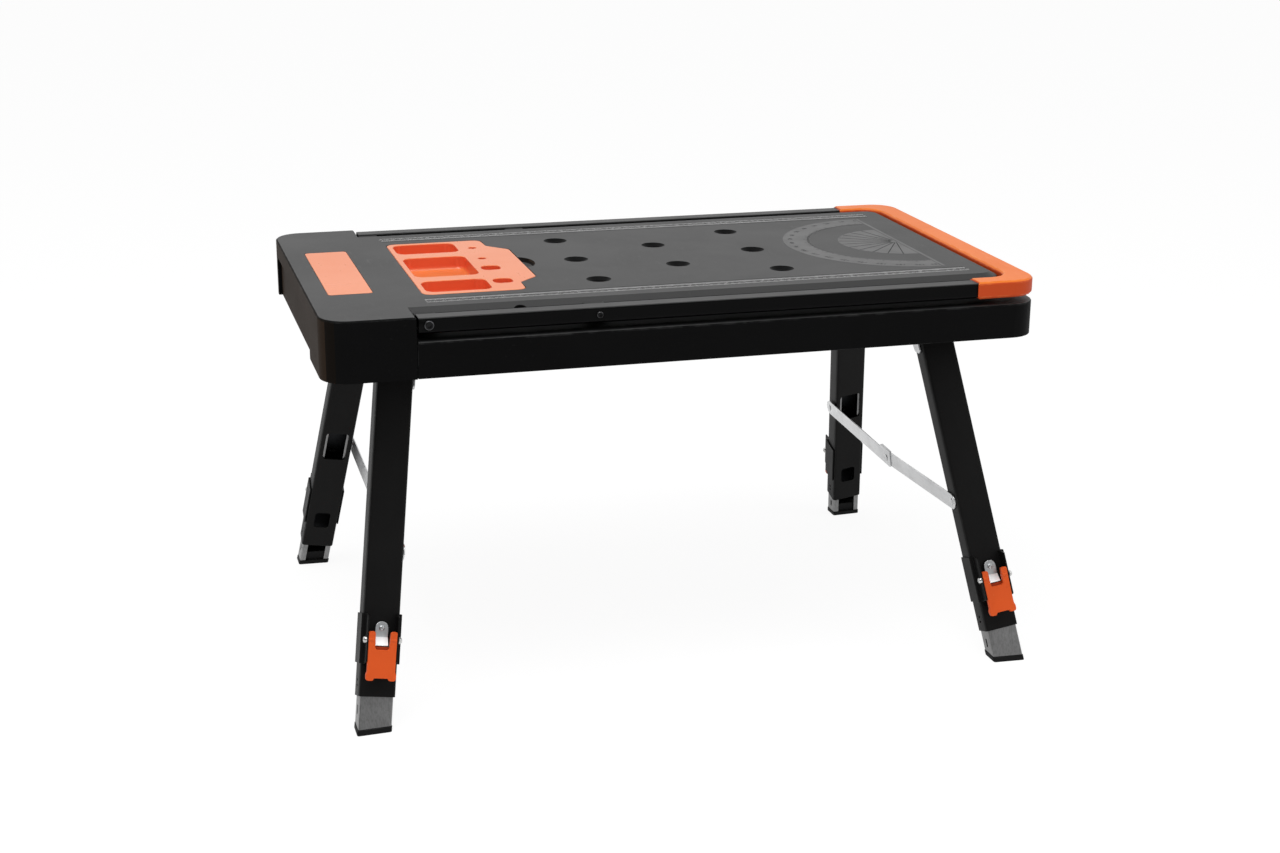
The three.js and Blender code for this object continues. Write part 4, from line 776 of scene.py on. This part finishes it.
def clamp_lever(tag, leg, row):
    """A forked lever: a slightly bowed plate, the bar behind its slot and two lobes on the pin."""
    shape = bmesh.new()
    half = [(x, row * down, radius) for x, down, radius in LEVER_HALF]
    outline = rounded(half + [(-x, down, radius) for x, down, radius in reversed(half)])
    extruded(shape, outline, LEVER_BACK, LEVER_FRONT)
    for down in LEVER_CUTS:
        everything = [*shape.verts, *shape.edges, *shape.faces]
        bmesh.ops.bisect_plane(shape, geom=everything, plane_co=(0, row * down * MM, 0), plane_no=(0, 1, 0))
    for point in shape.verts:
        away = (row * point.co.y / MM - LEVER_BOW_AT) / LEVER_BOW_REACH
        point.co.z += LEVER_BOW * away * away * MM
    round_edges(shape, LEVER_ROUND, segments=3)
    add_hook(shape, row)
    outward = leg @ facing((0, 0, -LEVER_PIVOT_AT), (0, row, 0))
    bmesh.ops.transform(shape, matrix=outward, verts=shape.verts)
    for end in (-1, 1):
        place = (end * LOBE_X, row * LEVER_PIVOT_OUT, -LEVER_PIVOT_AT)
        turned(shape, LOBE, leg @ facing(place, (end, 0, 0)), sides=28)
    node = f"clamp_lever_{tag}"
    settle(f"{node}_fork", shape, (lever_orange, shaded_hook_orange), NODE_BODY[node], [node])


def clamp_fittings():
    """The bracket and lever of each clamp, its rivets and the pin with round heads outside the ears."""
    for side_word, side in SIDES.items():
        for row_word, row in ROWS.items():
            tag = f"{row_word}_{side_word}"
            leg = leg_frame(side, row)
            clamp_bracket(tag, leg, row)
            clamp_lever(tag, leg, row)
            rivet = bmesh.new()
            turned(rivet, TONGUE_RIVET, leg @ facing((0, row * LOCK_PIN_OUT, -LOCK_PIN_AT), (0, row, 0)))
            settle(f"tongue_rivet_{tag}", rivet, tongue_zinc, f"tongue_{tag}")
            pin = bmesh.new()
            for end in (-1, 1):
                place = (end * CLAMP_EAR, row * LEVER_PIVOT_OUT, -LEVER_PIVOT_AT)
                turned(pin, LEVER_PIN, leg @ facing(place, (end, 0, 0)), sides=20)
            settle(f"lever_pin_{tag}", pin, screw_zinc, f"lever_{tag}")
            stop = bmesh.new()
            turned(stop, STOP_RIVET, leg @ facing((0, row * STOP_RIVET_OUT, -STOP_RIVET_AT), (0, -row, 0)))
            settle(f"stop_rivet_{tag}", stop, screw_zinc, f"extension_{tag}")


# The rulers: levels, rows, and the lengths of the ticks at each count of steps
MARK_LOW = TOP - 0.05
MARK_HIGH = TOP + 0.12
LINE_HIGH = TOP + 0.05
INCH = 25.4
RULER_START = -340.0
RULER_END = 412.0
RULER_LINE_Y = 176.0
RULER_LINE_HALF = 0.7
INCH_ROW_Y = 180.0
INCH_PARTS = 16
INCH_TICKS = ((16, 8.2), (8, 7.2), (4, 6.4), (2, 5.6), (1, 5.0))
INCH_TICK_HALF = 0.3
INCH_NUMBER = 3.0
INCH_NUMBER_AT = (-3.0, -8.6)
CENTIMETRE_ROW_Y = 197.5
CENTIMETRE_TICKS = ((10, 6.0), (5, 4.2), (1, 2.8))
CENTIMETRE_TICK_HALF = 0.2
CENTIMETRE_NUMBER = 2.4
CENTIMETRE_NUMBER_AT = (2.4, 4.2)
NUMBER_WELD = 1e-4
CAPITAL_SCALE = 1.4


def digits(text):
    """A number as a closed flat mesh of unit height."""
    curve = bpy.data.curves.new("number", "FONT")
    curve.body = text
    curve.align_x = "CENTER"
    curve.size = CAPITAL_SCALE
    curve.extrude = 0.5
    curve.resolution_u = 1
    holder = bpy.data.objects.new("number", curve)
    bpy.context.scene.collection.objects.link(holder)
    mesh = bpy.data.meshes.new_from_object(holder)
    bpy.data.objects.remove(holder)
    bpy.data.curves.remove(curve)
    return mesh


def write(shape, text, height, place, low, high, turn=0.0):
    """Adds a number to a bmesh, standing on a flat place between two levels."""
    mesh = digits(text)
    number = bmesh.new()
    number.from_mesh(mesh)
    bmesh.ops.remove_doubles(number, verts=number.verts, dist=NUMBER_WELD)
    size = Matrix.Diagonal((height * MM, height * MM, (high - low) * MM, 1.0))
    spot = Matrix.Translation(Vector((*place, (low + high) / 2)) * MM) @ Matrix.Rotation(turn, 4, "Z")
    bmesh.ops.transform(number, matrix=spot @ size, verts=number.verts)
    number.to_mesh(mesh)
    number.free()
    shape.from_mesh(mesh)
    bpy.data.meshes.remove(mesh)


def tick_length(step, ticks):
    """Length of the tick at a step: the first whose count divides it."""
    return next(length for count, length in ticks if step % count == 0)


def graduations():
    """Ticks and numbers of one ruler: inches on the inner row and centimetres on the outer row."""
    shape = bmesh.new()
    length = RULER_END - RULER_START
    for step in range(int(length / INCH * INCH_PARTS) + 1):
        x = RULER_START + step * INCH / INCH_PARTS
        reach = tick_length(step, INCH_TICKS)
        bar(shape, (x - INCH_TICK_HALF, -INCH_ROW_Y - reach, MARK_LOW),
            (x + INCH_TICK_HALF, -INCH_ROW_Y, MARK_HIGH))
    for step in range(int(length) + 1):
        x = RULER_START + step
        reach = tick_length(step, CENTIMETRE_TICKS)
        bar(shape, (x - CENTIMETRE_TICK_HALF, -CENTIMETRE_ROW_Y, MARK_LOW),
            (x + CENTIMETRE_TICK_HALF, -CENTIMETRE_ROW_Y + reach, MARK_HIGH))
    for inch in range(1, int(length / INCH) + 1):
        spot = (RULER_START + inch * INCH + INCH_NUMBER_AT[0], -INCH_ROW_Y + INCH_NUMBER_AT[1])
        write(shape, str(inch), INCH_NUMBER, spot, MARK_LOW, MARK_HIGH)
    for centimetre in range(1, int(length / 10) + 1):
        spot = (RULER_START + centimetre * 10 + CENTIMETRE_NUMBER_AT[0],
                -CENTIMETRE_ROW_Y + CENTIMETRE_NUMBER_AT[1])
        write(shape, str(centimetre), CENTIMETRE_NUMBER, spot, MARK_LOW, MARK_HIGH)
    return shape


def rulers():
    """A ruler along each long side of the deck. The rear one is turned to be read from behind."""
    middle = Matrix.Translation(((RULER_START + RULER_END) / 2 * MM, 0, 0))
    half_turn = middle @ Matrix.Rotation(math.pi, 4, "Z") @ middle.inverted()
    for word, place in (("front", Matrix()), ("rear", half_turn)):
        marks = graduations()
        bmesh.ops.transform(marks, matrix=place, verts=marks.verts)
        settle(f"ruler_marks_{word}", marks, tick_relief, "table", weighted=False)
        line = bmesh.new()
        bar(line, (RULER_START, -RULER_LINE_Y - RULER_LINE_HALF, MARK_LOW),
            (RULER_END, -RULER_LINE_Y + RULER_LINE_HALF, LINE_HIGH))
        bmesh.ops.transform(line, matrix=place, verts=line.verts)
        settle(f"ruler_line_{word}", line, dark_relief, "table", weighted=False)


# The protractor: its centre, radii, base strip and marks
PROTRACTOR_X = 385.5
PROTRACTOR_RADIUS = 164.5
PROTRACTOR_RING = 125.5
PROTRACTOR_FAN = 84.0
PROTRACTOR_HUB = 1.5
PROTRACTOR_BASE = (387.0, 391.5)
DEGREE_TICKS = ((10, 9.0), (5, 6.5), (1, 4.0))
DEGREE_TICK_START = 0.4
DEGREE_TICK_WIDTH = 0.7
FAN_STEP = 15
FAN_RAY = (8.0, PROTRACTOR_FAN - 0.5)
FAN_RAY_WIDTH = 1.4
DEGREE_NUMBER = 7.0
DEGREE_NUMBER_AT = 150.0
DEGREE_NUMBER_ENDS = (1.5, 178.5)
DEGREE_LOW = TOP + 0.02
DEGREE_HIGH = TOP + 0.2


def half_ring(shape, inner, outer, low, high, steps=72):
    """Adds half a flat ring round the protractor's centre."""
    corners = ((inner, low), (outer, low), (outer, high), (inner, high))
    verts = [shape.verts.new((PROTRACTOR_X * MM, reach * MM, height * MM)) for reach, height in corners]
    face = shape.faces.new(verts)
    bmesh.ops.spin(shape, geom=[face, *face.edges, *verts], cent=(PROTRACTOR_X * MM, 0, 0), axis=(0, 0, 1),
                   angle=math.pi, steps=steps)
    bmesh.ops.holes_fill(shape, edges=[edge for edge in shape.edges if edge.is_boundary])
    bmesh.ops.recalc_face_normals(shape, faces=shape.faces)


def ray(shape, degrees, reach, width):
    """Adds a thin radial bar to the protractor's marks."""
    turn = Matrix.Translation((PROTRACTOR_X * MM, 0, 0)) @ Matrix.Rotation(math.radians(degrees), 4, "Z")
    bar(shape, (reach[0], -width / 2, DEGREE_LOW), (reach[1], width / 2, DEGREE_HIGH), turn)


def protractor():
    """Half-round protractor at the grip end: a pale ring, a pale fan and a base strip with dark marks."""
    pale = bmesh.new()
    half_ring(pale, PROTRACTOR_RING, PROTRACTOR_RADIUS, MARK_LOW, MARK_HIGH)
    half_ring(pale, PROTRACTOR_HUB, PROTRACTOR_FAN, MARK_LOW, MARK_HIGH)
    bar(pale, (PROTRACTOR_BASE[0], -PROTRACTOR_RADIUS, MARK_LOW),
        (PROTRACTOR_BASE[1], PROTRACTOR_RADIUS, MARK_HIGH))
    settle("protractor_field", pale, pale_relief, "table", weighted=False)
    dark = bmesh.new()
    for degree in range(1, 180):
        reach = (PROTRACTOR_RING + DEGREE_TICK_START, PROTRACTOR_RING + tick_length(degree, DEGREE_TICKS))
        ray(dark, 90 + degree, reach, DEGREE_TICK_WIDTH)
    for degree in range(FAN_STEP, 180, FAN_STEP):
        ray(dark, 90 + degree, FAN_RAY, FAN_RAY_WIDTH)
    least, most = DEGREE_NUMBER_ENDS
    for degree in range(0, 181, 10):
        angle = math.radians(90 + min(max(degree, least), most))
        spot = (PROTRACTOR_X + DEGREE_NUMBER_AT * math.cos(angle), DEGREE_NUMBER_AT * math.sin(angle))
        write(dark, str(degree), DEGREE_NUMBER, spot, DEGREE_LOW, DEGREE_HIGH, angle - math.pi / 2)
    settle("protractor_marks", dark, dark_relief, "table", weighted=False)


def camera():
    """The camera at the photograph's viewpoint."""
    data = bpy.data.cameras.new("photo_camera")
    data.sensor_fit = "HORIZONTAL"
    data.sensor_width = SENSOR_WIDTH
    data.lens = FOCAL_PIXELS * SENSOR_WIDTH / IMAGE_WIDTH
    data.clip_end = CAMERA_CLIP
    view = bpy.data.objects.new("photo_camera", data)
    right, up, back = Vector(CAMERA_RIGHT), -Vector(CAMERA_DOWN), -Vector(CAMERA_AHEAD)
    turn = Matrix((right, up, back)).transposed().to_4x4()
    view.matrix_world = Matrix.Translation(Vector(CAMERA_PLACE) * MM) @ turn
    bpy.context.scene.collection.objects.link(view)
    bpy.context.scene.camera = view


def lamp(name, place, target, size, power):
    """A rectangular soft lamp. Its places and size are in metres."""
    data = bpy.data.lights.new(name, "AREA")
    data.shape = "RECTANGLE"
    data.size, data.size_y = size
    data.energy = power
    light = bpy.data.objects.new(name, data)
    light.location = place
    light.rotation_euler = (Vector(target) - Vector(place)).to_track_quat("-Z", "Y").to_euler()
    bpy.context.scene.collection.objects.link(light)


# The studio: how bright the world and the floor are to each kind of ray, and where the lamps look
SKY_LIGHT = 0.42
SKY_GLOSS_FRONT = 0.2
SKY_GLOSS_RIGHT = 0.5
FLOOR_HALF = 20.0
FLOOR_GREY = (0.86, 0.86, 0.86)
FLOOR_GLOW = 1.08
FLOOR_SEEN = 0.85
FLOOR_GLOSS = 0.5
WHITE = (1.0, 1.0, 1.0)
LAMP_TARGET = (0, 0, 0.4)


def white_world():
    """A white background. Gloss sees it bright behind the bench and dimmer in front."""
    world = bpy.data.worlds.new("studio")
    bpy.context.scene.world = world
    nodes = Nodes(world)
    seen = nodes.make("ShaderNodeLightPath", out="Is Camera Ray")
    glossy = seen.output("Is Glossy Ray")
    direction = nodes.make("ShaderNodeTexCoord", out="Generated")
    across = nodes.make("ShaderNodeSeparateXYZ", {"Vector": direction}, out="X")
    depth = across.output("Y")
    front = across.step(0.05, 0.6) * SKY_GLOSS_RIGHT + SKY_GLOSS_FRONT
    gloss = front + (1.0 - front) * depth.step(-0.35, 0.45)
    bright = seen.largest(seen.output("Is Transmission Ray"))
    strength = bright + (1.0 - bright) * (glossy * gloss + (1.0 - glossy) * SKY_LIGHT)
    sky = nodes.make("ShaderNodeBackground", {"Color": WHITE, "Strength": strength})
    nodes.make("ShaderNodeOutputWorld", {"Surface": sky})


def pale_floor():
    """A pale floor that keeps the bench's shadow."""
    shape = bmesh.new()
    bmesh.ops.create_grid(shape, x_segments=8, y_segments=8, size=FLOOR_HALF)
    mesh = bpy.data.meshes.new("floor")
    shape.to_mesh(mesh)
    shape.free()
    floor = bpy.data.objects.new("floor", mesh)
    bpy.context.scene.collection.objects.link(floor)
    pale = Finish("pale_floor")
    matt = pale.make("ShaderNodeBsdfDiffuse", {"Color": FLOOR_GREY})
    glow = pale.make("ShaderNodeEmission", {"Color": WHITE, "Strength": FLOOR_GLOW})
    seen = pale.make("ShaderNodeLightPath", out="Is Camera Ray")
    share = seen * FLOOR_SEEN + seen.output("Is Glossy Ray") * FLOOR_GLOSS
    shown = pale.make("ShaderNodeMixShader", {0: share, 1: matt, 2: glow})
    pale.make("ShaderNodeOutputMaterial", {"Surface": shown})
    mesh.materials.append(pale.material)


def studio():
    """A white background, a pale floor and soft lamps."""
    white_world()
    pale_floor()
    lamp("key_softbox", (-0.8, -0.9, 3.4), LAMP_TARGET, size=(2.6, 2.0), power=75)
    lamp("fill_softbox", (2.6, -1.6, 2.0), LAMP_TARGET, size=(1.8, 1.8), power=16)


camera()
studio()
dress_cad()
rail_bolts()
brace_rivets()
clamp_fittings()
rulers()
protractor()

bpy.context.scene.view_settings.view_transform = "Standard"
